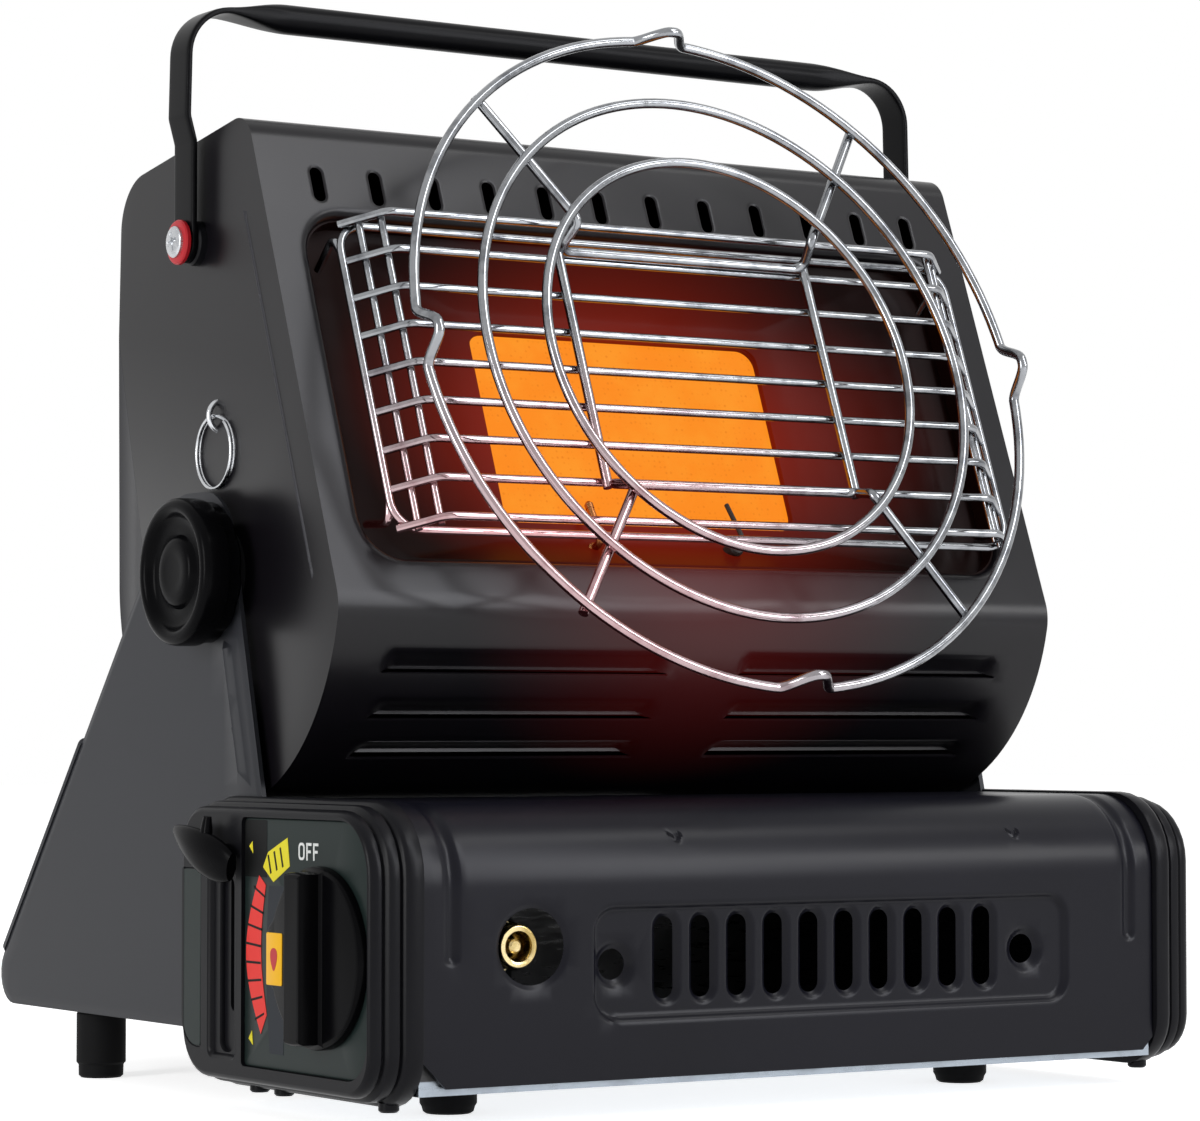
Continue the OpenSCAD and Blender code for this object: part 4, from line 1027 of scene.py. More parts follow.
def bracket(facing):
    """Stand plate: its outline with a pressed rib beside the front edge, a stiffening
    step along the sloping rear edge, and the inward flange that carries a leg."""
    edge = rounded_path([(4, 15), (101, 15), (109.8, 21.5), (283, 21.5), (rear_line(185.5), 185.5),
                         (112, 185.5), (88, 92), (86, 84), (4, 84)],
                        [14, 8, 3, 10, 20, 18, 0, 2, 14], 8, True)
    holes = [disc(PIVOT[1], PIVOT[2], 4.1, 24)]
    if facing < 0:
        holes += [disc(KNOB[1], KNOB[2], 6, 24), round_rect((84.1, 29.6), (88.9, 79.4), 2.3, 4)]
    rib = rounded_path([(99.5, 100), (109.5, 137)], 0)
    track = np.linspace(rib[0], rib[1], 12)
    across_rib = np.array([0.965, -0.26])
    near = np.concatenate([track + across_rib * k for k in (-3.2, -2.2, -1.2, 0, 1.2, 2.2, 3.2)])
    extra = np.concatenate([near, packed((5, 16), (282, 184), 9.0)])
    rings = [inset(edge, k) for k in (0.7, 1.6, 2.6)]

    def press(flat):
        return (1.9 * fall(seg_gap(flat, *rib), 0.2, 3.0)
                - 0.5 * fall(edge_gap(flat, edge), 0.0, 2.6))

    plate = pressed_plate(edge, holes, rings, extra, press, BRACKET_X, 1.5, facing)
    flange = slab(round_rect((126, 120), (256, 136.4), 1.0, 2), [],
                  [(0.2, 22.7), (0, 22.4), (0, 21.5)], lambda y, x, z: np.stack([x, y, z], -1))
    return joined(plate, flange if facing > 0 else mirrored(flange))


def rear_cross_panel():
    """Sloping sheet between the brackets with two pressed runs across it."""
    t = 1.6
    along = np.array([-math.cos(STAND_SLOPE), math.sin(STAND_SLOPE)])
    out = np.array([math.sin(STAND_SLOPE), math.cos(STAND_SLOPE)])
    length = 71 / math.sin(STAND_SLOPE)
    start = np.array([rear_line(38), 38.0])
    edge = round_rect((-137.5, 0), (137.5, length), 2, 3)
    runs = [((-112, v), (112, v + 7)) for v in (22, 62)]
    rings = [round_rect(np.array(a) - g, np.array(b) + g, 3.5 + g, 5) for a, b in runs
             for g in (-1.5, 0.0, 1.5)]
    flat, tris = blank([edge], rings, packed((-134, 3), (134, length - 3), 9.0))
    press = -1.2 * sum(fall(rect_gap(flat, a, b, 3.5), -1.5, 1.5) for a, b in runs)
    yz = start + flat[:, 1:] * along + (t + press)[:, None] * out
    points = np.concatenate([flat[:, :1], yz], 1)
    return thick(points, tris[:, ::-1], t)


def feet():
    """Two turned rubber feet under the front."""
    profile = [(0, 0), (6.6, 0), (7.5, 0.6), (7.9, 2.0), (8.5, 3.0), (8.5, 9.6), (8.1, 10), (0, 10)]
    return joined(*(lathe(profile, (x, 49.5, 0), (0, 0, 1), 40) for x in (-95.5, 95.5)))


def rear_legs():
    """Two turned legs with the pegs that hold them in the brackets' flanges."""
    profile = [(0, 0), (6.4, 0), (7.2, 0.7), (7.3, 4.2), (8.0, 5.0), (8.0, 20.6), (7.4, 21.5),
               (3.0, 21.6), (3.0, 25.4), (2.4, 26), (0, 26)]
    return joined(*(lathe(profile, (x, 216, 0), (0, 0, 1), 40) for x in (-127, 127)))


def rivets():
    """Three rivets on each side, with quarter-sine domes: r = 4.6 cos a, height = sin a."""
    a = np.linspace(0, math.pi / 2, 7)[:-1]
    dome = np.stack([4.6 * np.cos(a), 137.45 + np.sin(a)], -1).tolist() + [(0, 138.45)]
    profile = [(0, 132.0), (2.9, 132.0), (2.9, 137.45)] + dome
    return both(joined(*(lathe(profile, (0, y, z), (1, 0, 0), 24)
                         for y, z in ((18, 24), (18, 72), (100, 24)))))


# ---------- head ----------

# Side line of the head about the tilt axis: distance of its back, radii of its underside and
# belly, the belly's middle, height and slope of the top, and height of the rear seam
BACK_Y, HEAD_R, BELLY_R = 72.0, 72.0, 15.0
BELLY_MID = np.array([-55.75, -11.86])
TOP_Z, TOP_SLOPE = 138, 9.0
SEAM_Z = 78.0

# Front shell: the opening across X and up the face, the slots above it, and the louvres
OPEN_X, FACE_H = 120, (-20.6, 92.6)
FACE_SLOTS, FACE_SLOT_R, FACE_SLOT_H = (np.arange(12) - 5.5) * 20.5, 2.1, (97.1, 108.7)
LOUVRE_Z = (-31.0, -44.8, -56.5)
LOUVRE_X = ((-115, -13.5), (13.5, 115))


def head_line():
    """Side line of the head about the tilt axis, clockwise from the rear seam at z 78:
    down the back, round the belly, up the face, over both top corners and back down.
    Returns its length marks, its points, and the angles of its outward normals."""
    def turn(mid, r, a, b):
        t = np.linspace(a, b, max(3, int(abs(a - b) / 3) + 1))
        return mid + arc(r, a, b, len(t)), np.radians(t)
        return mid + r * np.stack([np.cos(t), np.sin(t)], -1), t

    lean, fall_back = math.degrees(LEAN), math.tan(math.radians(TOP_SLOPE))

    def on_top(y):
        return np.array([y, TOP_Z - fall_back * y])

    def corner(a, b, c, r):
        u, v = unit(a - b), unit(c - b)
        half = math.acos(u @ v) / 2
        return b + unit(u + v) * r / math.sin(half)

    touch = BELLY_MID + BELLY_R * FACE_OUT[1:]
    front = on_top((TOP_Z * math.sin(LEAN) - FACE_D)
                   / (math.cos(LEAN) + fall_back * math.sin(LEAN)))
    rear = on_top(BACK_Y)

    belly_angle = 360 + math.degrees(math.atan2(BELLY_MID[1], BELLY_MID[0]))
    runs = [(np.array([[BACK_Y, SEAM_Z], [BACK_Y, 40.0], [BACK_Y, 4.0]]), np.zeros(3)),
            turn(np.zeros(2), HEAD_R, 360, belly_angle),
            turn(BELLY_MID, BELLY_R, belly_angle - 3, 180 - lean),
            turn(corner(rear, front, touch, 10.0), 10.0, 180 - lean, 90 - TOP_SLOPE),
            turn(corner(np.array([BACK_Y, 0.0]), rear, front, 18.0), 18.0, 90 - TOP_SLOPE, 0),
            (np.array([[BACK_Y, SEAM_Z + 0.3]]), np.zeros(1))]
    points = np.concatenate([r[0] for r in runs])
    normal = np.concatenate([np.atleast_1d(r[1]) for r in runs])
    normal[:3] = 2 * math.pi
    marks = np.concatenate([[0], np.cumsum(np.linalg.norm(np.diff(points, axis=0), axis=1))])
    return marks, points, normal


# Length marks, points and normal angles of the side line, and the mark where the shell's two
# sheets meet under the head
HEAD_S, HEAD_P, HEAD_A = head_line()
REAR_END = float(np.interp(-math.radians(300), -HEAD_A[:40], HEAD_S[:40]))


def s_of_h(h):
    """Length mark of a height on the flat face."""
    first = np.flatnonzero(np.abs(HEAD_A - (math.pi - LEAN)) < 1e-6)[0]
    return HEAD_S[first] + h - HEAD_P[first] @ FACE_UP[1:]


def head_place(x, s, out):
    """Shell blank to space: the point of the side line at mark s, moved out along its normal."""
    y, z = np.interp(s, HEAD_S, HEAD_P[:, 0]), np.interp(s, HEAD_S, HEAD_P[:, 1])
    a = np.interp(s, HEAD_S, HEAD_A)
    return np.stack([x, PIVOT[1] + y + out * np.cos(a), PIVOT[2] + z + out * np.sin(a)], -1)


def curve_rows(low, high):
    """Length marks of the side line's own points between two marks."""
    return HEAD_S[(HEAD_S > low + 0.5) & (HEAD_S < high - 0.5)]


def front_shell(size):
    """Wrapped sheet: the face opening with its rolled edge, twelve slots above it, and
    three rows of louvres, each pressed in over a slit by depth x (1 - smooth step)."""
    end = HEAD_S[-1]
    h0 = s_of_h(0.0)
    low, high = (-OPEN_X, h0 + FACE_H[0]), (OPEN_X, h0 + FACE_H[1])
    above = h0 + FACE_SLOT_H[1] + 2.3
    riser = REAR_END + HEAD_R * math.radians(48)
    edge = np.array([[-SHELL_X, REAR_END], [-123.5, REAR_END], [-123.5, riser], [-112.5, riser],
                     [-112.5, REAR_END], [SHELL_X, REAR_END], [SHELL_X, end], [-SHELL_X, end]])
    opening = round_rect(low, high, 14, 10)
    slots = [((x - FACE_SLOT_R, h0 + FACE_SLOT_H[0]), (x + FACE_SLOT_R, h0 + FACE_SLOT_H[1]))
             for x in FACE_SLOTS]
    holes = [round_rect(*slot, FACE_SLOT_R, 5) for slot in slots]
    marks = [REAR_END + HEAD_R * (math.radians(120) - math.asin(-z / HEAD_R)) for z in LOUVRE_Z]
    spans = [(s, a, b) for s in marks for a, b in LOUVRE_X]
    slits = [round_rect((a, s - 0.25), (b, s + 0.25), 0.24, 1) for s, a, b in spans]
    rings = around([opening], (0.3, 0.8, 1.5, 2.4, 3.4, 4.5)) + around(holes, (0.4, 0.8, 1.2, 1.8))
    rings += [round_rect((a - 1.5 + k, s - 0.9 + 0.2 * k), (b + 1.5 - k, s + 9.2 - k), 3, 4)
              for s, a, b in spans for k in (0.0, 1.6, 3.2)]
    rows = curve_rows(REAR_END, end)
    rows = rows[(rows < h0 + FACE_H[0] - 9) | (rows > above)]
    across = np.concatenate([[-132.9], np.linspace(-131, 131, 48), [132.9]])
    flat_rows = np.concatenate([np.linspace(h0 - 29, above, 26),
                                np.linspace(rows[rows > above][18], end - 2, 14)])
    extra = np.concatenate([lattice(across, rows), lattice(across, flat_rows)]
                           + [packed((-113, s + 0.8), (113, s + 8), 1.6) for s in marks])
    flat, tris = blank([edge, opening] + holes + slits, rings, extra, 0.35)
    x, s = flat.T
    roll = size.rolled_edge * 1000
    near = np.clip(roll - rect_gap(flat, low, high, 14), 0, roll)
    press = -(roll - np.sqrt(np.maximum(roll ** 2 - near ** 2, 0)))
    for slot in slots:
        press -= 0.35 * fall(rect_gap(flat, *slot, FACE_SLOT_R), -0.3, 0.8)
    side = np.minimum(np.abs(x) - 12.0, 116.5 - np.abs(x))
    for mark in marks:
        up = s - mark
        press -= size.louvre_depth * 1000 * ramp(side, 0.0, 7.0) * (up > 0) * fall(up, 0.6, 9.0)
    return thick(head_place(x, s, press), tris, SHEET)


def rear_cover():
    """Back of the shell with a pressed border and three rows of short vent slots."""
    riser = HEAD_R * math.radians(17) + SEAM_Z
    edge = np.array([[-SHELL_X, 0], [SHELL_X, 0], [SHELL_X, REAR_END], [-112.5, REAR_END],
                     [-112.5, riser], [-123.5, riser], [-123.5, REAR_END], [-SHELL_X, REAR_END]])
    low, high = (-104.0, 8.0), (104.0, 66.0)
    rings = [round_rect(np.array(low) + g, np.array(high) - g, 10 - g, 6)
             for g in (-1, 0.2, 1.4, 2.6)]
    vents = [((x - 9, s - 1.6), (x + 9, s + 1.6))
             for s in (24, 36, 48) for x in np.linspace(-75, 75, 6)]
    holes = [round_rect(*vent, 1.6, 4) for vent in vents]
    rows = np.concatenate([np.linspace(2, SEAM_Z - 2, 14), curve_rows(SEAM_Z, REAR_END)])
    across = np.concatenate([[-132.9], np.linspace(-131, 131, 34), [132.9]])
    flat, tris = blank([edge] + holes, rings + around(holes, (0.6, 1.3)), lattice(across, rows))
    press = -1.4 * ramp(-rect_gap(flat, low, high, 10), -1.0, 2.6)
    for vent in vents:
        press -= 0.8 * fall(rect_gap(flat, *vent, 1.6), -0.2, 1.3)
    return thick(head_place(flat[:, 0], flat[:, 1], press), tris, SHEET)


def side_plate(facing):
    """End of the head: its edge rounds away inside the shell's end, and a rib is pressed
    along the leaning front edge, in front of which the sheet slopes in."""
    keep = np.concatenate([[True], np.linalg.norm(np.diff(HEAD_P, axis=0), axis=1) > 0.3])
    loop = HEAD_P[keep][:-1][::-1] + PIVOT[1:]
    edge = inset(loop, 2.0)
    holes = [disc(PIVOT[1], PIVOT[2], 4.0, 24), disc(HANDLE[1], HANDLE[2], 2.5, 16)]
    rings = [inset(edge, g) for g in (0.4, 0.9, 1.6, 2.4, 3.3, 4.4)]
    a, b = face_point(0, 96, FACE_D - 12)[1:], face_point(0, -22, FACE_D - 12)[1:]
    track = np.linspace(a, b, 60)
    steps = (-2.4, -1.7, -1.1, -0.55, 0, 0.55, 1.1, 1.8, 3.0)
    extra = np.concatenate([track - FACE_OUT[1:] * k for k in steps]
                           + [packed((50, 90), (192, 300), 8.0)])

    def press(flat):
        rib = 1.3 * fall(seg_gap(flat, a, b), 0.1, 1.7)
        gap = np.clip(3.4 - edge_gap(flat, edge), 0, 3.4)
        front = ramp((flat - a) @ FACE_OUT[1:], 0.5, 8.0) * ramp((flat - b)[:, 1], -14, 4)
        return rib - 1.2 * (gap / 3.4) ** 2 - 0.7 * front

    return pressed_plate(edge, holes, rings, extra, press, 132.1, SHEET, facing)


# ---------- burner ----------

# Plaque: half its width and height in the frame, and how far out its glowing side lies
PLAQUE_X, PLAQUE_HALF, PLAQUE_D = 55.0, 32.5, FACE_D - 21.5


def plaque_outline(margin, r, steps):
    """Outline of the plaque on the face, grown by a margin."""
    return round_rect((-PLAQUE_X - margin, MID_H - PLAQUE_HALF - margin),
                      (PLAQUE_X + margin, MID_H + PLAQUE_HALF + margin), r, steps)


def reflector():
    """Dish lofted from the plaque's outline to the face opening: point = (1 - v) inner
    + v outer, with v bowed so that the wall starts flat, rises, and ends in a flange."""
    inner = round_rect((-61, MID_H - 38.5), (61, MID_H + 38.5), 6, 10)
    outer = round_rect((-119.4, FACE_H[0] + 0.6), (119.4, FACE_H[1] - 0.6), 13.4, 10)
    rings = [raised(plaque_outline(0.1, 5, 10), PLAQUE_D - d) for d in (1.0, 0.2)]
    v = np.linspace(0, 1, 22)[:, None, None]
    flange = 0.80
    shape = inner + (outer - inner) * v
    depth = PLAQUE_D + (FACE_D - 9.5 - PLAQUE_D) * np.clip(v / flange, 0, 1) ** 1.25
    depth = depth + np.where(v > flange, (v - flange) / (1 - flange) * 0.8, 0)
    body = np.concatenate([shape, np.broadcast_to(depth, shape.shape[:2] + (1,))], 2)
    wall = [raised(outer, FACE_D - d) for d in (8.2, 6.5, 3.2)]
    rows = np.concatenate([np.stack(rings), body, np.stack(wall)])
    points = face_point(*rows.reshape(-1, 3).T)
    quads = grid_faces(*rows.shape[:2], wrap_cols=True)
    tris = np.concatenate([quads[:, [0, 1, 2]], quads[:, [0, 2, 3]]])
    front = (point_normals(points, tris) @ FACE_OUT).mean() > 0
    return thick(points, tris if front else tris[:, ::-1], 0.8)


def plaque():
    """Ceramic block with its edges eased."""
    return slab(plaque_outline(3.9, 6, 8), [],
                [(0.6, PLAQUE_D - 2.65), (0, PLAQUE_D - 3.2), (0, PLAQUE_D - 15.6)], face_point)


def burner_frame():
    """Frame of rounded section round the plaque."""
    return slab(plaque_outline(6, 6, 8), [plaque_outline(0, 6, 8)],
                edge_levels(PLAQUE_D - 1.1, PLAQUE_D - 2.6, 0.3), face_point)


def probe(x, body, back, wire, radius, sides):
    """Turned body below the plaque and a bent wire from it, given by (height over the
    body, distance in front of the plaque) and carried as a tube."""
    h = MID_H - PLAQUE_HALF - 9
    bent = rounded_path([(x, h + up, PLAQUE_D + out) for up, out in wire], 2.5, 8)
    return joined(lathe(body, face_point(x, h, PLAQUE_D - back), FACE_OUT, 24),
                  tube(face_point(*bent.T), radius, (1, 0, 0), sides))


def electrode():
    """Ceramic body with a thin wire bent over the plaque."""
    return probe(26.0, [(0, 0), (2.5, 0), (2.6, 0.4), (2.6, 15.2), (2.0, 16), (0.9, 16.3),
                        (0, 16.3)], 10, ((0, 6), (0, 10), (15, 5)), 0.8, 12)


def thermocouple():
    """Stepped body with a thicker bent wire that ends in a tip."""
    rod = probe(-26.0, [(0, 0), (2.2, 0), (2.2, 10.5), (1.9, 11.0), (1.9, 14), (1.4, 14.4),
                        (0, 14.4)], 12, ((0, 2), (0, 7), (13, 4)), 1.25, 14)
    h = MID_H - PLAQUE_HALF - 9
    start, end = face_point(-26.0, [h + 12, h + 13], [PLAQUE_D + 4.2, PLAQUE_D + 4])
    return joined(rod, lathe([(0, 0), (1.4, 0.3), (1.4, 2.0), (0.7, 2.9), (0, 3.0)], start,
                             end - start, 20))


# ---------- guard and grate ----------

# Guard and grate: radii of their wires, and how far out from the tilt axis they lie
GUARD_R, WIRE_R = 1.3, 1.6
RIM_D, GUARD_D, RING_D = FACE_D + 9, FACE_D + 20, FACE_D + 35
STAND_D = GUARD_D + GUARD_R + WIRE_R
GUARD_HS = MID_H + (4 - np.arange(9)) * 12.5
# Grate: name, radius, distance and height of the kinks of each ring
RINGS = (("outer_ring", 110, RING_D, 9.0), ("middle_ring", 87.5, RING_D + 1.1, 0),
         ("inner_ring", 66, RING_D + 2.2, 0))


def face_tube(points, radius, up, sides=12, closed=False):
    """Tube along a path given on the head's face."""
    return tube(face_point(*np.asarray(points).T), radius, up, sides, closed)


def wire_guard():
    """Nine cross wires whose ends bend back to the rim, three slanting uprights at each
    side, and a rounded rim frame with feet that stand in the reflector."""
    parts = []
    for h in GUARD_HS:
        line = rounded_path([(-114.2, h, RIM_D), (-103, h, GUARD_D), (103, h, GUARD_D),
                             (114.2, h, RIM_D)], [0, 6, 6, 0], 8)
        parts.append(face_tube(line, GUARD_R, FACE_UP))
    top, low = GUARD_HS[0], GUARD_HS[-1]
    for side in (-1, 1):
        for x, d in ((103.6, GUARD_D - 2.5 * GUARD_R - 0.2), (109.0, FACE_D + 12.2)):
            line = [(side * x, low - 1.5, d), (side * x, top + 1.5, d)]
            parts.append(face_tube(line, GUARD_R * 0.92, (1, 0, 0), 10))
    rim = raised(round_rect((-115, low), (115, top), 9, 8), RIM_D)
    parts.append(face_tube(rim, GUARD_R, FACE_OUT, closed=True))
    for x in (-115, 115):
        for end, h in ((-1, low), (1, top)):
            foot = rounded_path([(x, h - end * 8, FACE_D - 6), (x, h - end * 3, FACE_D + 6),
                                 (x, h - end * 9.5, RIM_D)], 3, 6)
            parts.append(face_tube(foot, GUARD_R, (1, 0, 0), 10))
    return joined(*parts)


def pot_stand():
    """Two bent wires and two uprights: each bent wire runs from the outer ring down its
    spoke, hooks over the inner ring, drops to the guard, and crosses it."""
    parts = []
    for s in (-1, 1):
        base = [(-71.5, 85.6, RING_D - 2.9), (-44, 44, RING_D - 1.2), (-46.5, 39, STAND_D),
                (46.5, 39, STAND_D), (44, 44, RING_D - 1.2), (71.5, 85.6, RING_D - 2.9)]
        points = [(x, MID_H + s * y, d) for x, y, d in base]
        line = rounded_path(points, [0, 3, 3.5, 3.5, 3, 0], 8)
        parts.append(face_tube(line, WIRE_R, unit([0.13, 0.05, 1.0])))
    for x in (-46.5, 46.5):
        line = [(x, MID_H - 40.5, STAND_D), (x, MID_H + 40.5, STAND_D)]
        parts.append(face_tube(line, WIRE_R, (1, 0, 0)))
    return joined(*parts)


def grate_ring(radius, d, kink):
    """Ring about the face's normal: radius R at angle t. With a kink it is raised by that
    height, and drawn in by 1 mm, over a few degrees at each quarter."""
    t = np.linspace(0, 2 * math.pi, 144, endpoint=False)
    if kink:
        fine = np.radians(np.concatenate([q * 90 + np.linspace(-7, 7, 37) for q in range(4)]))
        t = np.unique(np.round(np.concatenate([t, fine % (2 * math.pi)]), 6))
    quarter = np.abs((np.degrees(t) + 45) % 90 - 45)
    bent = fall(quarter, 0.4, 5.2) if kink else 0
    rise, r = kink * bent, radius - bent
    points = face_point(r * np.cos(t), MID_H + r * np.sin(t), d + rise)
    out = np.cos(t)[:, None] * [1, 0, 0] + np.sin(t)[:, None] * FACE_UP
    return tube(points, WIRE_R, out, 14, True)


# ---------- handle and hardware ----------

# Handle's path about its hinge: reach and half width of the strap, and height of the grip
STRAP_X, STRAP_R, GRIP_Z = 137.2, 6.3, 73


def carry_handle(size):
    """One bail: flat straps with a joggle that bend over and swell into a round grip. Round
    each point of the path runs a section |cos|^(2/p) wide and |sin|^(2/p) thick, whose
    power p goes from 2 at the grip to 7 at the straps."""
    grip = size.grip_radius * 1000
    half = rounded_path([(STRAP_X, -STRAP_R), (STRAP_X, 31), (139.4, 39), (138.6, GRIP_Z),
                         (0, GRIP_Z)], [0, 5, 5, 15, 0], 14)
    low = np.stack([np.full(10, STRAP_X),
                    -STRAP_R * np.cos(np.linspace(0.12, math.pi / 2, 10))], -1)
    top = np.stack([np.linspace(123, 2, 60), np.full(60, GRIP_Z)], -1)
    half = np.concatenate([low, half[1:-1], top])
    path = np.concatenate([half, (half * [-1, 1])[::-1]])
    n = len(path)
    tangent = unit(np.gradient(path, axis=0))
    normal = np.stack([tangent[:, 1], -tangent[:, 0]], -1)
    flat = ramp(np.abs(path[:, 0]), 102, 127) * (path[:, 1] > 40) + (path[:, 1] <= 40)
    flat = np.maximum(flat, ramp(-path[:, 1], -70, -60))
    thin = grip + (1.0 - grip) * flat
    below = np.clip(-path[:, 1] / STRAP_R, 0, 0.999)
    wide = (grip + (STRAP_R - grip) * flat) * np.sqrt(1 - below ** 2)
    power = 2 + 5 * flat
    sides = 32
    t = np.linspace(0, 2 * math.pi, sides, endpoint=False)[None]
    e = (2 / power)[:, None]
    u = np.sign(np.cos(t)) * np.abs(np.cos(t)) ** e * wide[:, None]
    v = np.sign(np.sin(t)) * np.abs(np.sin(t)) ** e * thin[:, None]
    spot = path[:, None] + normal[:, None] * v[..., None]
    points = np.stack([spot[..., 0], HANDLE[1] + u, HANDLE[2] + spot[..., 1]], -1).reshape(-1, 3)
    ends = np.stack([path[[0, -1], 0], np.full(2, HANDLE[1]), np.full(2, HANDLE[2] - STRAP_R)], -1)
    return turned_out((np.concatenate([points, ends]),
                       [grid_faces(n, sides, wrap_cols=True), pole_fans(n, sides)]))


def bushings():
    """Inner spacers and outer clamping discs of the handle, each on both sides."""
    at = 0, HANDLE[1], HANDLE[2]
    inner = lathe([(0, 131.05), (6.4, 131.05), (7, 131.6), (7, 135.3), (6.4, 135.9), (0, 135.9)],
                  at, (1, 0, 0), 40)
    outer = lathe([(0, 135.5), (4, 135.5), (4, 138.5), (6.5, 138.5), (7, 138.9), (7, 139.9),
                   (6.6, 140.4), (5.8, 140.6), (0, 140.6)], at, (1, 0, 0), 40)
    return both(inner), both(outer)


def screw(centre, axis, radius, height, reach, shank):
    """Pan head with a cross recess: height over the disc = H (0.45 + 0.55 sqrt(1 - (r/R)^2))
    minus a cross of two smooth slots, on a plain shank that goes back along the axis."""
    axis = unit(axis)
    u = unit(np.cross(axis, [0.11, 0.2, 0.97]))
    v = np.cross(axis, u)
    sides = 72
    r = np.concatenate([np.linspace(0.001, 0.7, 18), np.linspace(0.75, 1, 8)]) * radius
    t = np.linspace(0, 2 * math.pi, sides, endpoint=False)
    rr, tt = np.meshgrid(r, t, indexing="ij")
    a, b = rr * np.cos(tt), rr * np.sin(tt)
    top = height * (0.45 + 0.55 * np.sqrt(np.maximum(1 - (rr / radius) ** 2, 0)))
    slot = np.minimum(np.abs(a), np.abs(b))
    top -= (height * 0.75 * fall(slot, radius * 0.07, radius * 0.17)
            * fall(rr, radius * 0.48, radius * 0.62))
    rings = np.stack([a, b, top], -1)
    edge = rings[-1] * [1, 1, 0]
    neck = edge * (shank / radius)
    rings = np.concatenate([rings, np.stack([edge, neck, neck - [0, 0, reach]])])
    rows, centre = len(rings), np.asarray(centre)
    points = np.concatenate([centre + rings.reshape(-1, 3) @ np.stack([u, v, axis]),
                             [centre + axis * top[0].mean(), centre - axis * reach]])
    return turned_out((points, [grid_faces(rows, sides, wrap_cols=True)[:, ::-1],
                                pole_fans(rows, sides)]))


def handle_screws():
    """Screw and hexagon nut of the handle's hinge, on both sides."""
    head = screw((140.6, HANDLE[1], HANDLE[2]), (1, 0, 0), 4.9, 1.7, 13.0, 2.45)
    nut = lathe([(2.48, 127), (5, 127), (5, 130), (2.48, 130)], (0, HANDLE[1], HANDLE[2]),
                (1, 0, 0), 6)
    return both(joined(head, nut))


def shell_screws():
    """Three small screws in each side plate."""
    return both(joined(*[screw((131.0, y, z), (1, 0, 0), 3.2, 1.5, 4.0, 1.6)
                         for y, z in ((176, 268), (172, 123), (92, 118))]))


GAS_INLET_AT = np.array([-100.0, 0, 51.0])


def gas_inlet():
    """Threaded brass fitting with a turned lip, a bore and a hexagon. The thread's wall is
    r = R - depth * triangle(h / pitch - t / 2 pi), and fades out over a pitch at its ends."""
    sides, axis = 48, np.array([0.0, 1.0, 0.0])
    low, high, pitch, depth = 3.6, 15.4, 1.5, 0.55
    spin = spokes(axis, sides)
    h = np.linspace(low, high, int((high - low) / pitch * 8))[:, None]
    turns = np.linspace(0, 1, sides, endpoint=False)
    wave = np.abs((h / pitch - turns) % 1 * 2 - 1)
    fade = ramp(h, low, low + pitch) * fall(h, high - pitch, high)
    r = 6.75 - depth * (wave * fade + (1 - fade))
    wall = GAS_INLET_AT + h[..., None] * axis + r[..., None] * spin
    front, back = (np.stack([GAS_INLET_AT + z * axis + r * spin for r, z in profile])
                   for profile in (((4.2, 14.5), (4.2, 3.9), (4.5, 3.2), (5.2, 3.0), (5.9, 3.1),
                                    (6.2, 3.6)), ((4.9, 15.6), (4.9, 23), (4.2, 23))))
    rings = np.concatenate([front, wall, back])
    body = turned_out((rings.reshape(-1, 3), [grid_faces(len(rings), sides, True, True)]))
    nut = lathe([(5.0, 14.6), (8.4, 14.6), (9, 15.1), (9, 16.5), (8.4, 17), (5.0, 17)],
                GAS_INLET_AT, axis, 6)
    return joined(body, nut)


def valve_pin():
    """Stepped pin in the inlet's bore."""
    return lathe([(0, 4.6), (1.5, 4.6), (2.1, 5.1), (2.1, 12.6), (3, 13), (3, 14.8), (2.7, 15),
                  (0, 15)], GAS_INLET_AT, (0, 1, 0), 24)


def tilt_knob(size, facing):
    """Clamp knob: a turned profile with a raised rim, a dished ring and a boss. Its back
    half has twelve flutes: r = R - f cos^8 (6 t)."""
    big = size.tilt_knob_radius * 1000
    profile = np.array([(0, 0), (20.0, 0), (21.0, 0.35), (21.7, 1.2), (21.7, 4.2), (21.9, 4.8),
                        (22.4, 5.2), (22.5, 6.0), (22.5, 10.8), (22.35, 12.0), (21.8, 13.0),
                        (20.9, 13.55), (19.9, 13.7), (18.9, 13.55), (18.1, 13.0), (17.5, 12.0),
                        (17.0, 11.0), (16.0, 10.35), (14.2, 10.1), (12.2, 10.15), (11.4, 10.4),
                        (10.9, 11.0), (10.5, 11.9), (9.9, 12.55), (8.9, 12.9), (7.0, 13.0),
                        (5.5, 12.85), (4.0, 12.75), (0, 12.7)])
    profile[:, 0] *= big / 22.5
    centre = np.array([137.8, PIVOT[1], PIVOT[2]])
    points, faces = lathe(profile, centre, (1, 0, 0), 144)
    d = points - centre
    r = np.hypot(d[:, 1], d[:, 2])
    t = np.arctan2(d[:, 2], d[:, 1])
    flute = 0.9 * np.cos(t * 6) ** 8 * (r > 20.5) * (d[:, 0] < 4.9) * (d[:, 0] > 0.2)
    scale = np.where(r > 1, (r - flute) / np.maximum(r, 1), 1.0)
    points = centre + d * np.stack([np.ones_like(r), scale, scale], -1)
    shape = points, faces
    return shape if facing > 0 else mirrored(shape)


def ring_eyelet():
    """Wire bent to a half circle out of the left side plate."""
    t = np.linspace(-math.pi / 2, math.pi / 2, 24)
    at = np.stack([-131.0 - 4.8 * np.cos(t), np.full(24, RING[1]), RING[2] + 4.8 * np.sin(t)], -1)
    return tube(at, 0.9, (0, 1, 0), 14)


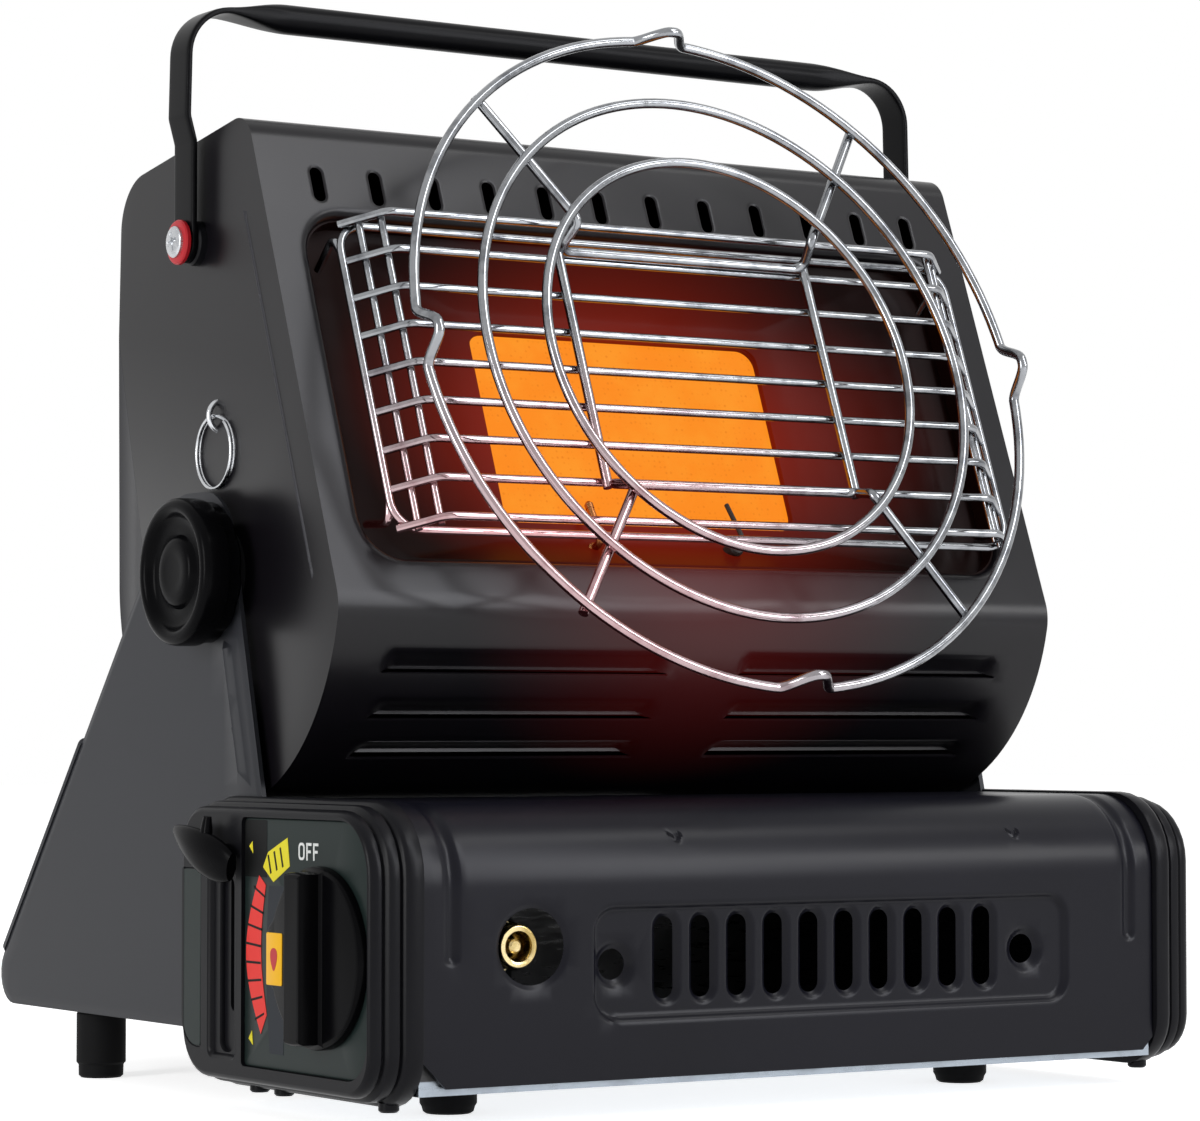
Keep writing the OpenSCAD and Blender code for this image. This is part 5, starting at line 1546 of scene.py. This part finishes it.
def pull_ring():
    """Split ring of two turns: a circle of radius R whose side offset steps over once."""
    r = 11.2
    t = np.linspace(0, 4 * math.pi - 0.12, 170)
    over = -0.56 + 1.12 * ramp(t, 2 * math.pi - 0.45, 2 * math.pi + 0.02)
    a = t + 2.2
    at = np.stack([RING[0] + over, RING[1] + r * np.cos(a), RING[2] - r + r * np.sin(a)], -1)
    out = np.stack([0 * t, np.cos(a), np.sin(a)], -1)
    return tube(at, 0.56, out, 12)


# ---------- panel settings ----------

def length(name, description, default, low, high):
    """Panel setting for a length in metres."""
    return bpy.props.FloatProperty(name=name, description=description, default=default, min=low,
                                   max=high, unit="LENGTH")


def colour(name, description, default):
    """Panel setting for a colour."""
    return bpy.props.FloatVectorProperty(name=name, description=description, default=default,
                                         size=4, min=0, max=1, subtype="COLOR")


class HEATER_PG_sizes(bpy.types.PropertyGroup):
    """Sizes of pressed and moulded detail."""

    vent_depth: length("Vent Panel Depth", "How far the cover's vent panel is pressed in",
                       0.0019, 0.0005, 0.003)
    louvre_depth: length("Louvre Depth", "How far the belly louvres are pressed in",
                         0.0032, 0.001, 0.005)
    rolled_edge: length("Opening Edge Radius", "Radius of the face opening's rolled edge",
                        0.003, 0.001, 0.005)
    knob_radius: length("Gas Knob Radius", "Radius of the gas knob's disc", 0.026, 0.024, 0.026)
    tilt_knob_radius: length("Tilt Knob Radius", "Radius of the tilt clamp knobs",
                             0.0225, 0.02, 0.0225)
    grip_radius: length("Grip Radius", "Radius of the carry handle's grip", 0.0047, 0.004, 0.005)


class HEATER_PG_look(bpy.types.PropertyGroup):
    """Colours of the heater and its stage."""

    glow: colour("Plaque Glow", "Colour of the glowing ceramic plaque", tint("#f98a1c"))
    glow_edge: colour("Plaque Paler Patches", "Colour of the plaque's paler patches",
                      tint("#faa02c"))
    floor: colour("Floor", "Colour of the stage floor", (0.9, 0.9, 0.9, 1.0))


# ---------- operators ----------

def put(name, shape, finish, body, *stands_for, crease=32):
    """Object from a shape (points, faces) with its finish, shaded smooth up to a crease angle
    in degrees. It rides its body and replaces the frame parts it stands for: unless told
    otherwise, the one of its own name."""
    stands_for = stands_for or (name,)
    finish = FINISHES[finish]
    mesh = put_mesh(name, *shape)
    mesh.shade_smooth()
    mesh.set_sharp_from_angle(angle=math.radians(crease))
    mesh.materials.append(finish)
    obj = bpy.data.objects.new(name, mesh)
    bpy.context.scene.collection.objects.link(obj)
    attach(obj, body)
    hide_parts(*stands_for)


# The saddles, collar yoke, heat shield, regulator and mixing tube take near-black finishes: painted
# shade for the dark inside of the housing and head
CARRIED = {
    "base_tray": "tray_plate", "bottom_plate": "black_paint", "cover_hinge_pins": "bright_plate",
    "regulator": "cast_grey", "port_seal": "foot_rubber", "piezo_igniter": "washer_nylon",
    "cartridge_saddles": "inner_black", "gas_riser": "brass_turned",
    "cover_hinge_leaves": "black_paint", "knob_stem": "bright_plate", "collar_yoke": "inner_black",
    "heat_shield": "inner_black", "burner_housing": "zinc_plate", "mixing_tube": "cast_grey",
    "injector_jet": "brass_turned", "feed_pipe": "brass_turned", "swivel_union": "brass_turned",
    "pivot_bolts": "dark_plate", "pivot_washers": "foot_rubber",
}


class HEATER_OT_finishes(bpy.types.Operator):
    """Makes every finish and gives the carried-over frame parts theirs"""
    bl_idname = "heater.finishes"
    bl_label = "Finishes"

    def execute(self, context):
        make_finishes(context.scene.heater_look)
        for node, finish in CARRIED.items():
            mesh = frame["nodes"][node].data
            mesh.materials.clear()
            mesh.materials.append(FINISHES[finish])
        return {"FINISHED"}


class HEATER_OT_cover(bpy.types.Operator):
    """Builds the cartridge cover with its vent panel"""
    bl_idname = "heater.cover"
    bl_label = "Cartridge Cover"

    def execute(self, context):
        put("cartridge_cover", cartridge_cover(context.scene.heater_sizes), "black_paint", "cover")
        return {"FINISHED"}


class HEATER_OT_caps(bpy.types.Operator):
    """Builds the two banded end caps"""
    bl_idname = "heater.caps"
    bl_label = "End Caps"

    def execute(self, context):
        recess = round_rect(np.array(PANEL_LOW) - 0.15, np.array(PANEL_HIGH) + 0.15,
                            [r + 0.1 for r in PANEL_CORNERS], 8)
        slot = (round_rect((84.1, 29.6), (88.9, 69.6), 2.3, 6), [(0, 146.9), (0, CAP_BACK)], None)
        well = (round_rect((84.0, 17.5), (93.0, 69.8), 3.6, 6),
                [(0, 148.4), (0.3, 147.9), (0.4, 146.9)], slot)
        left = end_cap([
            (recess, [(0, CAP_FACE), (0, 148.25)], None),
            (round_rect((80.2, 15.5), (98.2, 71.5), 3, 6),
             [(0, CAP_FACE), (0.5, 149.8), (1.2, 149.1), (1.6, 148.4)], well),
            (round_rect((102.2, 18.0), (114.6, 71.5), [1, 9, 1, 1], 6),
             [(0, CAP_FACE), (0.3, 149.6)], None)])
        put("left_end_cap", mirrored(left), "cap_plastic", "base")
        right = end_cap([(round_rect((8, 20), (106, 82), 10, 8),
                          [(0, CAP_FACE), (0.4, 149.5), (0.6, 148.8)], None)])
        put("right_end_cap", right, "cap_plastic", "base")
        return {"FINISHED"}


class HEATER_OT_controls(bpy.types.Operator):
    """Builds the control panel with its dial marks, the gas knob and the lock lever"""
    bl_idname = "heater.controls"
    bl_label = "Controls"

    def execute(self, context):
        put("control_panel", control_panel(), "panel_green", "base")
        label = slab(round_rect((102.7, 18.5), (114.1, 71.0), [1, 8.5, 1, 1], 6), [],
                     [(0.2, 149.95), (0, 149.8), (0, 149.5)], panel_at)
        put("bare_label", label, "panel_green", "base", "left_end_cap")
        marks = dial_marks()
        for name, finish, lift in (
                ("dial_corner", "print_black", 0.06), ("dial_band", "slate_print", 0.06),
                ("dial_crescent", "scale_red", 0.12), ("dial_start_mark", "scale_yellow", 0.12),
                ("dial_arrowheads", "scale_yellow", 0.12), ("dial_ticks", "print_black", 0.2)):
            put(name, printed(marks[name], lift=lift), finish, "base", "control_panel")
        put("dial_off", dial_off(), "print_white", "base", "control_panel")
        put("gas_knob", gas_knob(context.scene.heater_sizes), "knob_plastic", "gas_knob")
        put("knob_pointer", knob_pointer(), "pointer_yellow", "gas_knob")
        put("pointer_drop", pointer_drop(), "bushing_red", "gas_knob", "knob_pointer")
        put("lock_lever", lock_lever(), "knob_plastic", "lock_lever", crease=60)
        return {"FINISHED"}


class HEATER_OT_stand(bpy.types.Operator):
    """Builds the two brackets, the rear panel, the feet, the legs and the rivets"""
    bl_idname = "heater.stand"
    bl_label = "Stand"

    def execute(self, context):
        put("right_bracket", bracket(1), "bracket_paint", "base")
        put("left_bracket", bracket(-1), "bracket_paint", "base")
        put("rear_cross_panel", rear_cross_panel(), "bracket_paint", "base")
        put("front_feet", feet(), "foot_rubber", "base")
        put("rear_legs", rear_legs(), "foot_rubber", "base")
        put("bracket_rivets", rivets(), "bright_plate", "base")
        return {"FINISHED"}


class HEATER_OT_inlet(bpy.types.Operator):
    """Builds the threaded gas inlet and its valve pin"""
    bl_idname = "heater.inlet"
    bl_label = "Gas Inlet"

    def execute(self, context):
        put("gas_inlet", gas_inlet(), "brass_turned", "base")
        put("inlet_valve_pin", valve_pin(), "brass_turned", "base")
        return {"FINISHED"}


class HEATER_OT_shell(bpy.types.Operator):
    """Builds the head's shell, its rear cover and both side plates"""
    bl_idname = "heater.shell"
    bl_label = "Head Shell"

    def execute(self, context):
        put("front_shell", front_shell(context.scene.heater_sizes), "shell_paint", "head")
        put("rear_cover", rear_cover(), "black_paint", "head")
        put("right_side_plate", side_plate(1), "side_paint", "head")
        put("left_side_plate", side_plate(-1), "side_paint", "head")
        return {"FINISHED"}


class HEATER_OT_burner(bpy.types.Operator):
    """Builds the reflector, the glowing plaque, its frame and the two probes"""
    bl_idname = "heater.burner"
    bl_label = "Burner"

    def execute(self, context):
        put("reflector", reflector(), "reflector_hot", "head", crease=50)
        put("ceramic_plate", plaque(), "glowing_ceramic", "head")
        put("burner_frame", burner_frame(), "reflector_hot", "head")
        put("ignition_electrode", electrode(), "electrode_white", "head")
        put("thermocouple", thermocouple(), "copper_end", "head")
        return {"FINISHED"}


class HEATER_OT_wires(bpy.types.Operator):
    """Builds the wire guard, the pot stand and the three grate rings"""
    bl_idname = "heater.wires"
    bl_label = "Guard and Grate"

    def execute(self, context):
        put("wire_guard", wire_guard(), "chrome", "head", crease=60)
        put("pot_stand", pot_stand(), "chrome", "head", crease=60)
        for name, *ring in RINGS:
            put(name, grate_ring(*ring), "chrome", "head", crease=60)
        return {"FINISHED"}


class HEATER_OT_hardware(bpy.types.Operator):
    """Builds the clamp knobs, the screws, the bushings and the pull ring"""
    bl_idname = "heater.hardware"
    bl_label = "Hardware"

    def execute(self, context):
        sizes = context.scene.heater_sizes
        put("tilt_knob_right", tilt_knob(sizes, 1), "knob_plastic", "tilt_knob_right")
        put("tilt_knob_left", tilt_knob(sizes, -1), "knob_plastic", "tilt_knob_left")
        inner, outer = bushings()
        put("handle_spacers", inner, "cap_plastic", "head", "handle_bushings")
        put("handle_bushings", outer, "bushing_red", "head")
        put("handle_screws", handle_screws(), "bright_plate", "head")
        put("shell_screws", shell_screws(), "dark_plate", "head")
        put("ring_eyelet", ring_eyelet(), "bright_plate", "head", crease=60)
        put("pull_ring", pull_ring(), "bright_plate", "pull_ring", crease=60)
        return {"FINISHED"}


class HEATER_OT_handle(bpy.types.Operator):
    """Builds the carry handle with its grip"""
    bl_idname = "heater.handle"
    bl_label = "Carry Handle"

    def execute(self, context):
        put("carry_handle", carry_handle(context.scene.heater_sizes), "handle_paint", "handle",
            "carry_handle", "handle_grip", crease=50)
        return {"FINISHED"}


def area_lamp(name, at, towards, size, power, colour=(1, 1, 1)):
    """Soft rectangular lamp that looks at a point."""
    lamp = bpy.data.lights.new(name, "AREA")
    lamp.shape = "RECTANGLE"
    lamp.size, lamp.size_y = size
    lamp.energy = power
    lamp.color = colour
    obj = bpy.data.objects.new(name, lamp)
    obj.location = at
    obj.rotation_euler = (Vector(towards) - Vector(at)).to_track_quat("-Z", "Y").to_euler()
    bpy.context.scene.collection.objects.link(obj)


def make_surroundings(scene):
    """White to the camera and in reflections and glass, dimmer as a light."""
    dim = 0.34
    scene.world = bpy.data.worlds.new("surroundings")
    scene.world.use_nodes = True
    n = Nodes(scene.world.node_tree)
    background = n.tree.nodes["Background"]
    ray = n.add("ShaderNodeLightPath").outputs
    seen = n.math("MAXIMUM", n.math("MAXIMUM", ray["Is Camera Ray"], ray["Is Glossy Ray"]),
                  ray["Is Transmission Ray"])
    background.inputs["Color"].default_value = (1, 1, 1, 1)
    n.link(n.math("ADD", n.math("MULTIPLY", seen, 1.0 - dim), dim),
           background.inputs["Strength"])


def make_floor(scene):
    """Pale floor that glows a little to the camera, so that its far end turns white."""
    mesh = bpy.data.meshes.new("floor")
    mesh.from_pydata([(-6, -6, 0), (6, -6, 0), (6, 6, 0), (-6, 6, 0)], [], [(0, 1, 2, 3)])
    paint = bpy.data.materials.new("floor_paint")
    paint.use_nodes = True
    n = Nodes(paint.node_tree)
    shader = n.tree.nodes["Principled BSDF"]
    for key, value in (("Base Color", tuple(scene.heater_look.floor)), ("Roughness", 0.9),
                       ("Specular IOR Level", 0.1), ("Emission Color", (1, 1, 1, 1))):
        shader.inputs[key].default_value = value
    ray = n.add("ShaderNodeLightPath").outputs
    seen = n.math("MAXIMUM", ray["Is Camera Ray"], ray["Is Glossy Ray"])
    n.link(n.math("MULTIPLY", seen, 0.75), shader.inputs["Emission Strength"])
    mesh.materials.append(paint)
    ground = bpy.data.objects.new("floor", mesh)
    scene.collection.objects.link(ground)


class HEATER_OT_stage(bpy.types.Operator):
    """Makes the floor, the white surroundings, the lamps and the camera"""
    bl_idname = "heater.stage"
    bl_label = "Stage"

    def execute(self, context):
        scene = context.scene
        scene.view_settings.view_transform = "Standard"
        make_surroundings(scene)
        make_floor(scene)
        area_lamp("top_lamp", (0.6, -0.8, 1.4), (0, 0, 0.15), (0.9, 0.25), 4)
        area_lamp("left_lamp", (-1.8, -0.35, 0.5), (0, 0, 0.15), (0.45, 1.0), 17)
        area_lamp("strip_lamp", (0.715, -1.32, 0.885), (-0.13, 0, 0.15), (0.25, 1.4), 15,
                  (0.93, 0.94, 1.0))
        area_lamp("right_lamp", (1.25, -1.35, 0.75), (0.1, 0, 0.15), (0.2, 0.4), 4)
        camera = bpy.data.cameras.new("camera")
        camera.lens, camera.sensor_width = 120.37, 36.0
        camera.clip_start, camera.clip_end = 0.05, 30
        eye = bpy.data.objects.new("camera", camera)
        eye.location = (-0.70245, -1.10066, 0.11358)
        eye.rotation_euler = (math.radians(92.372), 0, math.radians(-33.138))
        scene.collection.objects.link(eye)
        scene.camera = eye
        return {"FINISHED"}


class HEATER_PT_panel(bpy.types.Panel):
    """Lists the heater's sizes, colours and building steps"""
    bl_idname = "HEATER_PT_panel"
    bl_label = "Portable Heater"
    bl_space_type = "VIEW_3D"
    bl_region_type = "UI"
    bl_category = "Heater"

    def draw(self, context):
        column = self.layout.column()
        for group_of in (context.scene.heater_sizes, context.scene.heater_look):
            for name in group_of.__annotations__:
                column.prop(group_of, name)
        for step in STEPS:
            column.operator(step.bl_idname)


STEPS = (HEATER_OT_finishes, HEATER_OT_cover, HEATER_OT_caps, HEATER_OT_controls,
         HEATER_OT_stand, HEATER_OT_inlet, HEATER_OT_shell, HEATER_OT_burner, HEATER_OT_wires,
         HEATER_OT_hardware, HEATER_OT_handle, HEATER_OT_stage)
CLASSES = (HEATER_PG_sizes, HEATER_PG_look) + STEPS + (HEATER_PT_panel,)


def register():
    for made in CLASSES:
        bpy.utils.register_class(made)
    bpy.types.Scene.heater_sizes = bpy.props.PointerProperty(type=HEATER_PG_sizes)
    bpy.types.Scene.heater_look = bpy.props.PointerProperty(type=HEATER_PG_look)


def unregister():
    del bpy.types.Scene.heater_look
    del bpy.types.Scene.heater_sizes
    for made in reversed(CLASSES):
        bpy.utils.unregister_class(made)


def main():
    """Builds the heater step by step."""
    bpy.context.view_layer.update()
    register()
    for step in STEPS:
        space, name = step.bl_idname.split(".")
        getattr(getattr(bpy.ops, space), name)()
    bpy.context.view_layer.update()


if __name__ == "__main__":
    main()
